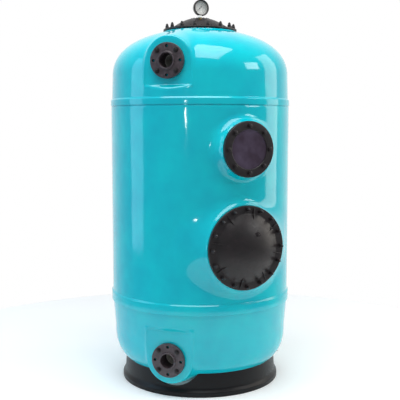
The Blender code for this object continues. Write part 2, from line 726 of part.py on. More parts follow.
# ---- sight glass ----
def make_sight_glass():
    pane_back = SIGHT_FACE + GAP + GASKET + GAP
    pane_front = pane_back + PANE_THICKNESS
    ring_front = pane_front + GAP + SIGHT_RING_LIP
    sealed = gasket("sight_gasket", PANE_RADIUS, GASKET_WIDTH, SIGHT_FACE + GAP, SIGHT_FACE + GAP + GASKET)
    pane_profile = [(0.0, pane_front), (PANE_RADIUS, pane_front), (PANE_RADIUS, pane_back), (0.0, pane_back)]
    pane = turned("sight_pane", pane_profile, clear_plastic, 32)
    rebate = PANE_RADIUS + GAP
    profile = [(SIGHT_RING_RADIUS, ring_front), (SIGHT_RING_RADIUS, SIGHT_FACE + GAP)]
    profile += [(rebate, SIGHT_FACE + GAP), (rebate, pane_front + GAP)]
    profile += [(SIGHT_RING_BORE, pane_front + GAP), (SIGHT_RING_BORE, ring_front)]
    ring = turned("sight_ring", profile, black_plastic, 32, ring=True)
    hole = STUD_RADIUS + BOLT_CLEARANCE
    holes = pins("sight_ring_holes", SIGHT_BOLTS, SIGHT_PITCH_RADIUS, hole, SIGHT_FACE - ROOM, ring_front + ROOM)
    cut(ring, holes)
    for obj in (sealed, pane, ring, holes):
        face_out(obj, MANWAY_HEADING, SIGHT_Z)
    end = SIGHT_FACE - SIGHT_LIP * 0.7
    for i in range(SIGHT_BOLTS):
        made = make_bolt(f"sight_bolt_{i + 1}", STUD_RADIUS, end, ring_front)
        place_on_circle(made, MANWAY_HEADING, SIGHT_Z, SIGHT_PITCH_RADIUS, 360.0 * i / SIGHT_BOLTS)


# ---- pressure gauge ----
def make_gauge(crest):
    top = crest + GAUGE_STEM_HEIGHT - GAP
    profile = [(0.0, top), (STEM_RADIUS, top), (STEM_RADIUS, crest + GAP), (STEM_THREAD_RADIUS, crest + GAP)]
    profile += [(STEM_THREAD_RADIUS, crest - STEM_THREAD_LENGTH), (0.0, crest - STEM_THREAD_LENGTH)]
    turned("gauge_stem", profile, brass, 12)
    inner = GAUGE_CASE_RADIUS - GAUGE_CASE_WALL
    floor = -GAUGE_BACK + GAUGE_CASE_WALL
    profile = [(0.0, floor), (inner, floor), (inner, GAUGE_FRONT), (GAUGE_CASE_RADIUS, GAUGE_FRONT)]
    profile += [(GAUGE_CASE_RADIUS, -GAUGE_BACK), (0.0, -GAUGE_BACK)]
    case = turned("gauge_case", profile, steel, 32)
    dial_low = floor + GAP
    dial_high = dial_low + GAUGE_DIAL_THICKNESS
    edge = inner - GAP
    profile = [(0.0, dial_high), (edge, dial_high), (edge, dial_low), (0.0, dial_low)]
    dial = turned("gauge_dial", profile, white, 32)
    glass_low = GAUGE_FRONT - GAUGE_GLASS_THICKNESS
    profile = [(0.0, GAUGE_FRONT), (edge, GAUGE_FRONT), (edge, glass_low), (0.0, glass_low)]
    glass = turned("gauge_glass", profile, clear_plastic, 32)
    lip = GAUGE_FRONT + GAP
    front = lip + GAUGE_BEZEL_LIP
    grip = GAUGE_CASE_RADIUS + GAP
    profile = [(GAUGE_RADIUS, front), (GAUGE_RADIUS, GAUGE_FRONT - GAUGE_BEZEL_GRIP)]
    profile += [(grip, GAUGE_FRONT - GAUGE_BEZEL_GRIP), (grip, lip), (inner - GAUGE_CASE_WALL, lip)]
    profile.append((inner - GAUGE_CASE_WALL, front))
    bezel = turned("gauge_bezel", profile, black_plastic, 32, ring=True)
    for obj in (case, dial, glass, bezel):
        face_out(obj, GAUGE_HEADING, crest + GAUGE_STEM_HEIGHT + GAUGE_CASE_RADIUS, GAUGE_OFFSET)
    make_pointer(dial_high + GAP, crest + GAUGE_STEM_HEIGHT + GAUGE_CASE_RADIUS)


def make_pointer(low, height):
    """A flat needle with a round boss and tail, its origin on its pivot, tip along its own X."""
    needle_low = low + POINTER_THICKNESS
    needle_high = needle_low + POINTER_THICKNESS
    profile = [(0.0, needle_high + POINTER_THICKNESS), (POINTER_BOSS_RADIUS, needle_high + POINTER_THICKNESS)]
    profile += [(POINTER_BOSS_RADIUS, low), (0.0, low)]
    pointer = turned("gauge_pointer", profile, black_plastic, 16)
    shape = bmesh.new()
    corners = [(-POINTER_TAIL, POINTER_TAIL_HALF), (-POINTER_TAIL, -POINTER_TAIL_HALF)]
    corners += [(0.0, -POINTER_MIDDLE_HALF), (POINTER_LENGTH, -POINTER_TIP_HALF)]
    corners += [(POINTER_LENGTH, POINTER_TIP_HALF), (0.0, POINTER_MIDDLE_HALF)]
    face = shape.faces.new([shape.verts.new((x, y, needle_low)) for x, y in corners])
    moved = bmesh.ops.extrude_face_region(shape, geom=[face])
    ends = [v for v in moved["geom"] if isinstance(v, bmesh.types.BMVert)]
    bmesh.ops.translate(shape, verts=ends, vec=(0.0, 0.0, needle_high - needle_low))
    bmesh.ops.recalc_face_normals(shape, faces=shape.faces)
    mesh = bpy.data.meshes.new("pointer_needle")
    shape.to_mesh(mesh)
    shape.free()
    needle = add_mesh("pointer_needle", mesh)
    tail = rod("pointer_tail", POINTER_TAIL_RADIUS, needle_low, needle_high, 16)
    join(pointer, needle)
    join(pointer, tail)
    pivot = bpy.data.objects.new("gauge_pivot", None)
    parts.objects.link(pivot)
    face_out(pivot, GAUGE_HEADING, height, GAUGE_OFFSET)
    tail.location = (-POINTER_TAIL, 0.0, 0.0)
    for obj in (pointer, needle, tail):
        obj.parent = pivot
    pivot.rotation_euler.rotate_axis("Z", math.radians(90.0 + POINTER_REST))


# ---- air bleed valve ----
def make_air_bleed(lid, lid_z):
    """A small screw valve through the lid's dome: a body with a collar, and a knob that turns."""
    dome = lid_z + LID_FLANGE
    place = outward(BLEED_HEADING) * BLEED_RADIUS_FROM_AXIS
    surface = dome + cap_height(LID_DOME_RADIUS, LID_DOME_RISE, BLEED_RADIUS_FROM_AXIS)
    spot = rod("air_bleed_spot", BLEED_BODY_RADIUS + 4.0 * GAP, surface, surface + ROOM, 16)
    hole = rod("air_bleed_hole", BLEED_SHANK_RADIUS + GAP, surface - 4.0 * LID_WALL, surface + ROOM, 12)
    low = surface - 2.0 * LID_WALL
    top = surface + BLEED_BODY_PROUD
    profile = [(0.0, top), (BLEED_BODY_RADIUS, top), (BLEED_BODY_RADIUS, surface + GAP)]
    profile += [(BLEED_SHANK_RADIUS, surface + GAP), (BLEED_SHANK_RADIUS, low), (0.0, low)]
    body = turned("air_bleed_body", profile, brass, 12)
    knob_low = top + GAP
    profile = [(0.0, knob_low + BLEED_KNOB_HEIGHT), (BLEED_KNOB_RADIUS, knob_low + BLEED_KNOB_HEIGHT)]
    profile += [(BLEED_KNOB_RADIUS, knob_low), (0.0, knob_low)]
    knob = turned("air_bleed_knob", profile, white, 10)
    for obj in (spot, hole, body, knob):
        obj.location = place
    cut(lid, hole)
    cut(lid, spot)


# ---- drain ----
def place_drain(obj):
    """Puts an object's own Z along the drain's axis, with zero on the moulding's outside."""
    obj.location = outward(DRAIN_HEADING) * DRAIN_FROM_AXIS
    obj.location.z = bottom_height(DRAIN_FROM_AXIS)
    obj.rotation_euler = Euler((math.radians(90.0 + DRAIN_TILT), 0.0, math.radians(DRAIN_HEADING)))
    return obj


def make_drain():
    collar = DRAIN_COLLAR_LOW + DRAIN_COLLAR
    profile = [(DRAIN_BORE, DRAIN_PROUD), (DRAIN_SPIGOT_RADIUS, DRAIN_PROUD), (DRAIN_SPIGOT_RADIUS, collar)]
    profile += [(DRAIN_COLLAR_RADIUS, collar), (DRAIN_COLLAR_RADIUS, DRAIN_COLLAR_LOW)]
    profile.append((DRAIN_SPIGOT_RADIUS, DRAIN_COLLAR_LOW))
    profile += [(DRAIN_SPIGOT_RADIUS, -DRAIN_INSIDE), (DRAIN_BORE, -DRAIN_INSIDE)]
    place_drain(turned("drain_spigot", profile, black_plastic, 16, ring=True))
    mouth = collar + GAP
    end = mouth + DRAIN_CAP_DEPTH
    inner = DRAIN_SPIGOT_RADIUS + GAP
    profile = [(0.0, end), (DRAIN_CAP_RADIUS, end), (DRAIN_CAP_RADIUS, mouth), (inner, mouth)]
    profile += [(inner, DRAIN_PROUD + GAP), (0.0, DRAIN_PROUD + GAP)]
    cap = turned("drain_cap", profile, black_plastic, 16)
    half = DRAIN_WING_WIDTH / 2.0
    thick = DRAIN_WING_THICKNESS / 2.0
    wing = box("drain_wing", (-half, -thick, end - GAP), (half, thick, end + DRAIN_WING_HEIGHT))
    join(cap, wing)
    place_drain(cap)
    place_drain(wing)


# ---- pipes inside ----
def pipe_along(name, low, high, height, material, radius=PIPE_RADIUS, wall=PIPE_WALL, heading=0.0, closed=False):
    """A straight pipe that runs outward along a heading, its outer end closed or open."""
    profile = [(radius, high), (radius, low), (radius - wall, low)]
    if closed:
        profile = [(0.0, high)] + profile + [(radius - wall, high - wall), (0.0, high - wall)]
    else:
        profile.append((radius - wall, high))
    pipe = turned(name, profile, material, 12, ring=not closed)
    return face_out(pipe, heading, height)


def bend(name, radius, height, start, end):
    """A quarter bend as a mesh, from outward along the nozzle's heading to straight up."""
    reach = INLET_BEND_RADIUS
    data = bpy.data.curves.new(name, "CURVE")
    data.dimensions = "3D"
    data.bevel_depth = radius
    data.bevel_resolution = 2
    data.use_fill_caps = True
    points = [Vector((0.0, -reach - start, 0.0))]
    for i in range(7):
        angle = math.pi / 2.0 * i / 6
        points.append(Vector((0.0, -reach + reach * math.sin(angle), reach - reach * math.cos(angle))))
    points.append(Vector((0.0, 0.0, reach + end)))
    spline = data.splines.new("POLY")
    spline.points.add(len(points) - 1)
    for point, place in zip(spline.points, points):
        point.co = (*place, 1.0)
    curve = bpy.data.objects.new(name, data)
    cutters.objects.link(curve)
    curve.location.z = height
    bpy.context.view_layer.update()
    graph = bpy.context.evaluated_depsgraph_get()
    mesh = bpy.data.meshes.new_from_object(curve.evaluated_get(graph))
    shape = bmesh.new()
    shape.from_mesh(mesh)
    bmesh.ops.remove_doubles(shape, verts=shape.verts, dist=0.00001)
    bmesh.ops.recalc_face_normals(shape, faces=shape.faces)
    shape.to_mesh(mesh)
    shape.free()
    place = curve.matrix_world.copy()
    bpy.data.objects.remove(curve)
    return mesh, place


def make_inlet():
    outer_end = PAD_PLANE - FLANGE_SPIGOT_LENGTH - GAP
    inner_end = INLET_BEND_RADIUS + INLET_BEND_FOOT
    pipe_along("inlet_pipe", inner_end + GAP, outer_end, UPPER_NOZZLE_Z, white_pipe)
    mesh, place = bend("inlet_bend", PIPE_RADIUS, UPPER_NOZZLE_Z, INLET_BEND_FOOT, INLET_BEND_TOP)
    elbow = add_mesh("inlet_bend", mesh, white_pipe)
    elbow.matrix_world = place
    bore_radius = PIPE_RADIUS - PIPE_WALL
    mesh, place = bend("inlet_bend_bore", bore_radius, UPPER_NOZZLE_Z, 2.0 * INLET_BEND_FOOT, ROOM)
    bore = add_mesh("inlet_bend_bore", mesh)
    bore.matrix_world = place
    cut(elbow, bore)
    low = UPPER_NOZZLE_Z + INLET_BEND_RADIUS + INLET_BEND_TOP + GAP
    high = low + DIFFUSER_HEIGHT
    mouth = DIFFUSER_RADIUS - PIPE_WALL
    profile = [(DIFFUSER_RADIUS, high), (PIPE_RADIUS, low), (bore_radius, low), (mouth, high)]
    turned("inlet_diffuser", profile, white_pipe, 24, ring=True)


def make_outlet():
    hub_low = LOWER_NOZZLE_Z - HUB_HEIGHT / 2.0
    hub_high = LOWER_NOZZLE_Z + HUB_HEIGHT / 2.0
    floor = BOTTOM_KNUCKLE_Z - BOTTOM_CROWN_DROP + WALL + HUB_FOOT_CLEARANCE
    profile = [(0.0, hub_high), (HUB_RADIUS, hub_high), (HUB_RADIUS, hub_low)]
    profile += [(HUB_FOOT_RADIUS, hub_low), (HUB_FOOT_RADIUS, floor), (0.0, floor)]
    hub = turned("collector_hub", profile, white_pipe, 24)
    inner = HUB_RADIUS - HUB_WALL
    cut(hub, rod("hub_hollow", inner, hub_low + HUB_WALL, hub_high - HUB_WALL))
    stop = HUB_RADIUS - SOCKET_DEPTH
    socket = rod("outlet_socket", PIPE_RADIUS + GAP, inner - HUB_WALL, HUB_RADIUS + ROOM, 12)
    cut(hub, face_out(socket, NOZZLE_HEADING, LOWER_NOZZLE_Z))
    outer_end = PAD_PLANE - FLANGE_SPIGOT_LENGTH - GAP
    pipe_along("outlet_pipe", stop, outer_end, LOWER_NOZZLE_Z, white_pipe)
    for i in range(1, LATERALS):
        heading = NOZZLE_HEADING + 360.0 * i / LATERALS
        socket = rod(f"lateral_socket_{i}", LATERAL_RADIUS + GAP, inner - HUB_WALL, HUB_RADIUS + ROOM, 12)
        cut(hub, face_out(socket, heading, LOWER_NOZZLE_Z))
        pipe_along(
            f"lateral_{i}",
            stop,
            LATERAL_END,
            LOWER_NOZZLE_Z,
            white_pipe,
            LATERAL_RADIUS,
            LATERAL_WALL,
            heading,
            closed=True,
        )


clear_scene()
parts = new_collection("sand_filter_tank")
cutters = new_collection("cutters")
cutters.hide_render = True
gelcoat = finish("turquoise gelcoat", (0.0, 0.45, 0.50), 0.12)
black_plastic = finish("black moulded plastic", (0.02, 0.018, 0.02), 0.4)
grey_plastic = finish("dark grey PVC", (0.08, 0.07, 0.075), 0.45)
white_pipe = finish("white PVC pipe", (0.8, 0.8, 0.78), 0.4)
rubber = finish("black rubber", (0.015, 0.015, 0.015), 0.8)
steel = finish("stainless steel", (0.6, 0.6, 0.6), 0.3, 1.0)
brass = finish("brass", (0.7, 0.5, 0.2), 0.3, 1.0)
white = finish("white enamel", (0.85, 0.85, 0.83), 0.4)
clear_plastic = finish("clear acrylic", (0.9, 0.9, 0.92), 0.05, 0.0, 0.9)

make_bottom_shell()
make_middle_shell()
make_top_shell()
make_stand()
for label, height in (("upper", UPPER_NOZZLE_Z), ("lower", LOWER_NOZZLE_Z)):
    flange_front = make_flange(label, height)
    make_flange_bolts(label, height, flange_front)
top_lid, top_lid_z, lid_crest = make_top_lid()
make_air_bleed(top_lid, top_lid_z)
make_manway_cover()
make_sight_glass()
make_gauge(lid_crest)
make_drain()
make_inlet()
make_outlet()
for obj in parts.objects:
    if any(modifier.type == "BOOLEAN" for modifier in obj.modifiers):
        simplify(obj)
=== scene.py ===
# %% [markdown]
# # A sand filter tank for a swimming pool
# The object is a glass-fibre tank 1.1 m across and 2.35 m high on a black plastic stand. It has two
# flanged nozzles, a manway, a sight glass, a bolted lid and a pressure gauge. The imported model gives
# every place and size. Here each part gets its finished shape and its real finish.

import math

import bpy
import numpy as np
from mathutils import Matrix, Vector


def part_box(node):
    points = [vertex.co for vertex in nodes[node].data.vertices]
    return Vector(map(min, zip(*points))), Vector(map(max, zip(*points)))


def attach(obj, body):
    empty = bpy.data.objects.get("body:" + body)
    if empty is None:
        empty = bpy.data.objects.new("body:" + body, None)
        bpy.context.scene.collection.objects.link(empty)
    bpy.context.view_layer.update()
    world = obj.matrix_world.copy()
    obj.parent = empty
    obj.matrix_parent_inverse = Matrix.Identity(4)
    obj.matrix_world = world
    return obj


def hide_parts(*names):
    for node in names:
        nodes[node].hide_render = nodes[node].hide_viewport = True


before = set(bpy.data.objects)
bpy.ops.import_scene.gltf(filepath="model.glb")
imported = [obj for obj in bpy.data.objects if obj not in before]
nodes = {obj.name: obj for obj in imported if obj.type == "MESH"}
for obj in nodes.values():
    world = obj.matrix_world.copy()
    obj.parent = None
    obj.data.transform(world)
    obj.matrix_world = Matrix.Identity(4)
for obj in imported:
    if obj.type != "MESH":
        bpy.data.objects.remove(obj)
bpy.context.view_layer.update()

# %% [markdown]
# ## Where things are
# A heading is an angle round the tank's axis, from the nozzles' side (-Y) towards +X. The manway and
# the sight glass share one heading, so one function that turns a heading into a direction is enough
# to place nearly everything.

# %% Headings and main sizes
NOZZLES = 0.0
MANWAY = 47.0
GAUGE = 45.0
BLEED = 20.0
DRAIN = 115.0


def outward(heading):
    angle = math.radians(heading)
    return Vector((math.sin(angle), -math.cos(angle), 0.0))


def sideways(heading):
    angle = math.radians(heading)
    return Vector((math.cos(angle), math.sin(angle), 0.0))


print("nozzles look along", tuple(round(c, 3) for c in outward(NOZZLES)))

# %% [markdown]
# ## Camera, floor and lights
# The camera stands 20 degrees to the right of the nozzles, a little above the middle, and looks down
# 5.5 degrees with a 68 mm lens. A gloss surface shows the room more than itself, so the lights are
# large soft panels, as in a product studio: one overhead, tall ones left and right for the long
# vertical reflections, and small ones for the bright streaks.

# %% Camera
bpy.ops.object.camera_add(
    location=(1.6317, -4.4830, 1.5708),
    rotation=(math.radians(84.47), 0.0, math.radians(20.0)),
)
camera = bpy.context.object
camera.data.lens = 68.33
camera.data.sensor_width = 36.0
camera.data.clip_end = 100.0
bpy.context.scene.camera = camera


# %% Colours, and one function that adds a shader node
def linear(code):
    """An sRGB hex colour as the linear colour that shaders use."""
    channels = [int(code[i : i + 2], 16) / 255.0 for i in (1, 3, 5)]
    mixed = [c / 12.92 if c <= 0.04045 else ((c + 0.055) / 1.055) ** 2.4 for c in channels]
    return (*mixed, 1.0)


def add_node(tree, kind, inputs=None, **settings):
    """Adds a node; an input given as a socket is linked, and any other is set."""
    made = tree.nodes.new(kind)
    for name, value in settings.items():
        setattr(made, name, value)
    for name, value in (inputs or {}).items():
        if isinstance(value, bpy.types.NodeSocket):
            tree.links.new(value, made.inputs[name])
        else:
            made.inputs[name].default_value = value
    return made


def ramp(tree, factor, stops):
    """A colour ramp over (position, hex colour) stops."""
    made = add_node(tree, "ShaderNodeValToRGB", {"Fac": factor})
    elements = made.color_ramp.elements
    while len(elements) < len(stops):
        elements.new(0.5)
    for element, (position, code) in zip(elements, stops):
        element.position = position
        element.color = linear(code)
    return made.outputs["Color"]


# %% Floor and backdrop
bpy.ops.mesh.primitive_circle_add(vertices=128, radius=2.4, fill_type="NGON", location=(0.0, 0.0, 0.0))
floor = bpy.context.object
floor.name = "studio_floor"
paper = bpy.data.materials.new("matt white studio paper")
paper.use_nodes = True
paper_shader = paper.node_tree.nodes["Principled BSDF"]
paper_shader.inputs["Base Color"].default_value = linear("#f7f7f7")
paper_shader.inputs["Roughness"].default_value = 0.9
paper_shader.inputs["Emission Color"].default_value = linear("#ffffff")
paper_shader.inputs["Emission Strength"].default_value = 0.12
floor.data.materials.append(paper)

studio = bpy.data.worlds.new("studio")
studio.use_nodes = True
sky = studio.node_tree.nodes["Background"]
toward = add_node(studio.node_tree, "ShaderNodeTexCoord").outputs["Generated"]
facing = add_node(
    studio.node_tree, "ShaderNodeVectorMath", {0: toward, 1: (-0.342, 0.940, 0.0)}, operation="DOT_PRODUCT"
).outputs["Value"]
room = ramp(studio.node_tree, facing, [(0.0, "#92979b"), (0.35, "#b4b8bb"), (0.80, "#ffffff")])
studio.node_tree.links.new(room, sky.inputs["Color"])
sky.inputs["Strength"].default_value = 1.0
bpy.context.scene.world = studio
bpy.context.scene.view_settings.view_transform = "Standard"


# %% Lights
def panel(name, heading, distance, height, width, tall, power, aim_height, colour="#ffffff"):
    """A soft light panel that stands at a heading and faces the tank's axis."""
    place = outward(heading) * distance + Vector((0.0, 0.0, height))
    look = Vector((0.0, 0.0, aim_height)) - place
    turn = look.to_track_quat("-Z", "Y").to_euler()
    bpy.ops.object.light_add(type="AREA", location=place, rotation=turn)
    lamp = bpy.context.object
    lamp.name = name
    lamp.data.shape = "RECTANGLE"
    lamp.data.size = width
    lamp.data.size_y = tall
    lamp.data.energy = power
    lamp.data.color = linear(colour)[:3]
    return lamp


panel("overhead_panel", 10.0, 1.6, 5.0, 4.0, 3.0, 175.0, 1.3)
panel("left_panel", -62.0, 4.2, 2.2, 1.6, 4.2, 52.0, 1.2, "#b4e0ff")
panel("right_panel", 118.0, 3.8, 2.4, 1.6, 4.0, 52.0, 1.3, "#fff8ec")
panel("window_panel", 88.0, 4.4, 3.2, 1.5, 1.2, 36.0, 1.9)
panel("streak_light", 3.4, 4.2, 1.72, 0.07, 0.26, 3.4, 1.6)
# %% [markdown]
# ## Modelling helpers
# Most of the hardware is round, so most pieces are turned: a circle is added at its first radius,
# and its edge is extruded and scaled ring by ring along an outline, as a potter pulls up a wall. The
# outline's corners are rounded first, because moulded and machined edges catch a line of light.

# %% Selecting and applying
def only(obj):
    """Leaves object mode with this object alone selected and active."""
    if bpy.context.mode != "OBJECT":
        bpy.ops.object.mode_set(mode="OBJECT")
    bpy.ops.object.select_all(action="DESELECT")
    obj.select_set(True)
    bpy.context.view_layer.objects.active = obj


def clear_selection():
    if bpy.context.mode != "OBJECT":
        bpy.ops.object.mode_set(mode="OBJECT")
    bpy.ops.object.select_all(action="DESELECT")


def apply_modifier(obj, kind, **settings):
    only(obj)
    modifier = obj.modifiers.new(kind.lower(), kind)
    for name, value in settings.items():
        setattr(modifier, name, value)
    bpy.ops.object.modifier_apply(modifier=modifier.name)


def tidy_mesh(obj, merge=0.00003):
    """Merges doubled points and turns every face outwards."""
    only(obj)
    bpy.ops.object.mode_set(mode="EDIT")
    bpy.ops.mesh.select_all(action="SELECT")
    bpy.ops.mesh.remove_doubles(threshold=merge)
    bpy.ops.mesh.normals_make_consistent(inside=False)
    bpy.ops.object.mode_set(mode="OBJECT")
    return obj


def smooth(obj, angle=35.0):
    only(obj)
    bpy.ops.object.shade_smooth_by_angle(angle=math.radians(angle))
    return obj


# %% Rounding an outline
def rounded(corners, steps=4):
    """(radius, height) points of an outline from corners of (radius, height, fillet)."""
    points = []
    for i, corner in enumerate(corners):
        here = Vector(corner[:2])
        fillet = corner[2] if len(corner) > 2 else 0.0
        if not fillet:
            points.append(tuple(here))
            continue
        before = Vector(corners[i - 1][:2]) - here
        after = Vector(corners[(i + 1) % len(corners)][:2]) - here
        half = before.angle(after) / 2.0
        reach = min(fillet / math.tan(half), before.length * 0.49, after.length * 0.49)
        start = here + before.normalized() * reach
        end = here + after.normalized() * reach
        for step in range(steps + 1):
            t = step / steps
            points.append(tuple(start * (1 - t) ** 2 + here * 2 * t * (1 - t) + end * t**2))
    return points


# %% Turning an outline into a piece
POLE = 0.00001


def turned(name, corners, segments=96, ring=False, steps=4):
    """A turned piece about Z. A ring's outline closes on itself; another starts and ends at a pole."""
    outline = [(max(radius, POLE), height) for radius, height in rounded(corners, steps)]
    if ring:
        outline.append(outline[0])
    clear_selection()
    first_radius, first_height = outline[0]
    bpy.ops.mesh.primitive_circle_add(
        vertices=segments,
        radius=first_radius,
        location=(0.0, 0.0, first_height),
    )
    obj = bpy.context.object
    obj.name = name
    obj.data.name = name
    bpy.ops.object.mode_set(mode="EDIT")
    bpy.ops.mesh.select_all(action="SELECT")
    for (radius, height), (next_radius, next_height) in zip(outline, outline[1:]):
        bpy.ops.mesh.extrude_region_move(TRANSFORM_OT_translate={"value": (0.0, 0.0, next_height - height)})
        scale = next_radius / radius
        bpy.ops.transform.resize(value=(scale, scale, 1.0), center_override=(0.0, 0.0, next_height))
    bpy.ops.object.mode_set(mode="OBJECT")
    bpy.ops.object.transform_apply(location=True, rotation=True, scale=True)
    return tidy_mesh(obj)


# %% Placing, copying and joining
def put(obj, heading, height, distance=0.0, across=0.0, spin=0.0):
    """Turns a piece made about Z so that its Z looks outward at a heading, with its Y up."""
    turn = Matrix.Rotation(math.radians(heading), 4, "Z") @ Matrix.Rotation(math.radians(90.0), 4, "X")
    place = outward(heading) * distance + sideways(heading) * across + Vector((0.0, 0.0, height))
    obj.matrix_world = Matrix.Translation(place) @ turn @ Matrix.Rotation(math.radians(spin), 4, "Z")
    only(obj)
    bpy.ops.object.transform_apply(location=True, rotation=True, scale=True)
    return obj


def move(obj, offset=(0.0, 0.0, 0.0), spin=0.0):
    """Turns a piece about Z and moves it, and applies both."""
    obj.matrix_world = Matrix.Translation(Vector(offset)) @ Matrix.Rotation(math.radians(spin), 4, "Z")
    only(obj)
    bpy.ops.object.transform_apply(location=True, rotation=True, scale=True)
    return obj


def copy_of(obj, name):
    """A copy with its own mesh."""
    made = obj.copy()
    made.data = obj.data.copy()
    made.name = name
    made.data.name = name
    bpy.context.scene.collection.objects.link(made)
    return made


def joined(name, objects):
    """One piece of several."""
    only(objects[0])
    for obj in objects[1:]:
        obj.select_set(True)
    if len(objects) > 1:
        bpy.ops.object.join()
    made = bpy.context.object
    made.name = name
    made.data.name = name
    return made


def drill(obj, cutter, keep=False):
    """Cuts a solid out of a piece."""
    apply_modifier(obj, "BOOLEAN", operation="DIFFERENCE", object=cutter, solver="EXACT")
    if not keep:
        bpy.data.objects.remove(cutter)
    return obj


def holes(obj, count, pitch, radius, low, high, phase=0.0, sides=24):
    """Drills a circle of holes about Z, the first at +Y turned by the phase."""
    made = []
    for i in range(count):
        angle = math.radians(90.0 - phase - 360.0 * i / count)
        clear_selection()
        bpy.ops.mesh.primitive_cylinder_add(
            vertices=sides,
            radius=radius,
            depth=high - low,
            location=(pitch * math.cos(angle), pitch * math.sin(angle), (low + high) / 2.0),
        )
        made.append(bpy.context.object)
    cutter = joined("drill", made)
    only(cutter)
    bpy.ops.object.transform_apply(location=True, rotation=True, scale=True)
    return drill(obj, cutter)


def finished(obj, material, body, slot, *stands_for):
    """Gives a piece its material and its body, and hides the CAD nodes that it stands for. The slot is not
    used.
    """
    obj.data.materials.clear()
    obj.data.materials.append(material)
    for polygon in obj.data.polygons:
        polygon.material_index = 0
    if stands_for:
        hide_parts(*stands_for)
    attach(obj, body)
    return obj
# %% [markdown]
# ## The glass-fibre mouldings
# The tank is three mouldings: a crowned top with a flat nozzle pad sunk into its side, a straight
# middle with two flared necks, and a dished bottom with its own pad. In a real mould these shapes run
# into each other with soft fillets, which ring-by-ring turning can't give. So each moulding starts as
# a grid whose points are pushed out along rays from inside the tank until they meet the surface. The
# surface is a distance field: the smallest of the distances to the body, the necks and the pads, with
# the seams between them blended, as a sculptor would smooth them. The inside is a second field, one
# wall further in, so the wall is real.

# %% Distance fields
def smooth_min(a, b, blend):
    share = np.maximum(blend - np.abs(a - b), 0.0) / blend
    return np.minimum(a, b) - share * share * blend / 4.0


def smooth_max(a, b, blend):
    return -smooth_min(-a, -b, blend)


def along(heading, points):
    """Distance outward along a heading, and across it, for an array of points."""
    out, side = outward(heading), sideways(heading)
    return points[
        ...,
        0,
    ] * out.x + points[..., 1] * out.y, points[..., 0] * side.x + points[..., 1] * side.y


def neck_field(points, heading, height, face, radius, root_radius, root, land):
    """A neck that flares from its face inwards."""
    out, across = along(heading, points)
    from_axis = np.hypot(across, points[..., 2] - height)
    flare = np.clip((face - land - out) / (face - land - root), 0.0, 1.0)
    slope = math.atan2(root_radius - radius, face - land - root)
    side = (from_axis - radius - (root_radius - radius) * flare) * math.cos(slope)
    return np.maximum(smooth_max(side, out - face, 0.008), 0.2 - out)


def arch_field(across, up, radius, straight):
    """Flat distance to an outline with a half-round end and a straight other end."""
    round_end = np.hypot(across, np.maximum(up, 0.0)) - radius
    return smooth_max(round_end, -up - straight, 0.012)


def body_field(points, outline, crown_height, crown_radius, crown_rise, power, sign):
    """A turned body: an outline for its side, and a crown above (sign 1) or below (sign -1)."""
    radius = np.hypot(points[..., 0], points[..., 1])
    heights = np.array([z for r, z in outline])
    radii = np.array([r for r, z in outline])
    side = radius - np.interp(points[..., 2], heights, radii)
    rise = np.maximum(sign * (points[..., 2] - crown_height), 0.0)
    total = (radius / crown_radius) ** power + (rise / crown_rise) ** power + 1e-12
    level = total ** (1.0 / power)
    slope_out = (radius / crown_radius) ** (power - 1.0) / crown_radius * total ** (1.0 / power - 1.0)
    slope_up = (rise / crown_rise) ** (power - 1.0) / crown_rise * total ** (1.0 / power - 1.0)
    crown = (level - 1.0) / np.maximum(np.hypot(slope_out, slope_up), 1e-6)
    return np.where(sign * (points[..., 2] - crown_height) > 0.0, crown, side)


def reach(field, starts, rays, far=0.75):
    """How far each ray goes before it leaves the field, found by halving."""
    near = np.full(rays.shape[:-1], 0.02)
    distant = np.full(rays.shape[:-1], far)
    for _ in range(34):
        middle = (near + distant) / 2.0
        inside = field(starts + rays * middle[..., None]) < 0.0
        near = np.where(inside, middle, near)
        distant = np.where(inside, distant, middle)
    return starts + rays * near[..., None]


# %% Rows of points round the tank
def headings(fine_low, fine_high, fine, coarse):
    """Headings right round the tank, closer together between two of them, the last as the first."""
    wide = 360.0 - (fine_high - fine_low)
    steps_fine = round((fine_high - fine_low) / fine)
    steps_wide = round(wide / coarse)
    inner = [fine_low + (fine_high - fine_low) * i / steps_fine for i in range(steps_fine)]
    outer = [fine_high + wide * i / steps_wide for i in range(steps_wide + 1)]
    return np.radians(np.array(inner + outer))


def level_rows(turn, heights):
    """Level rays from the tank's axis, one row for each height."""
    starts = np.zeros((len(heights), len(turn), 3))
    starts[..., 2] = np.array(heights)[:, None]
    rays = np.zeros_like(starts)
    rays[..., 0] = np.sin(turn)
    rays[..., 1] = -np.cos(turn)
    return starts, rays


def star_rows(turn, centre, elevations):
    """Rays from one point on the axis, one row for each elevation in degrees."""
    starts = np.zeros((len(elevations), len(turn), 3))
    starts[..., 2] = centre
    raised = np.radians(np.array(elevations))[:, None]
    rays = np.zeros_like(starts)
    rays[..., 0] = np.cos(raised) * np.sin(turn)
    rays[..., 1] = -np.cos(raised) * np.cos(turn)
    rays[..., 2] = np.sin(raised)
    return starts, rays


def level_ring(turn, radius, height):
    """One row of points at a radius and a height."""
    row = np.zeros((1, len(turn), 3))
    row[..., 0] = radius * np.sin(turn)
    row[..., 1] = -radius * np.cos(turn)
    row[..., 2] = height
    return row


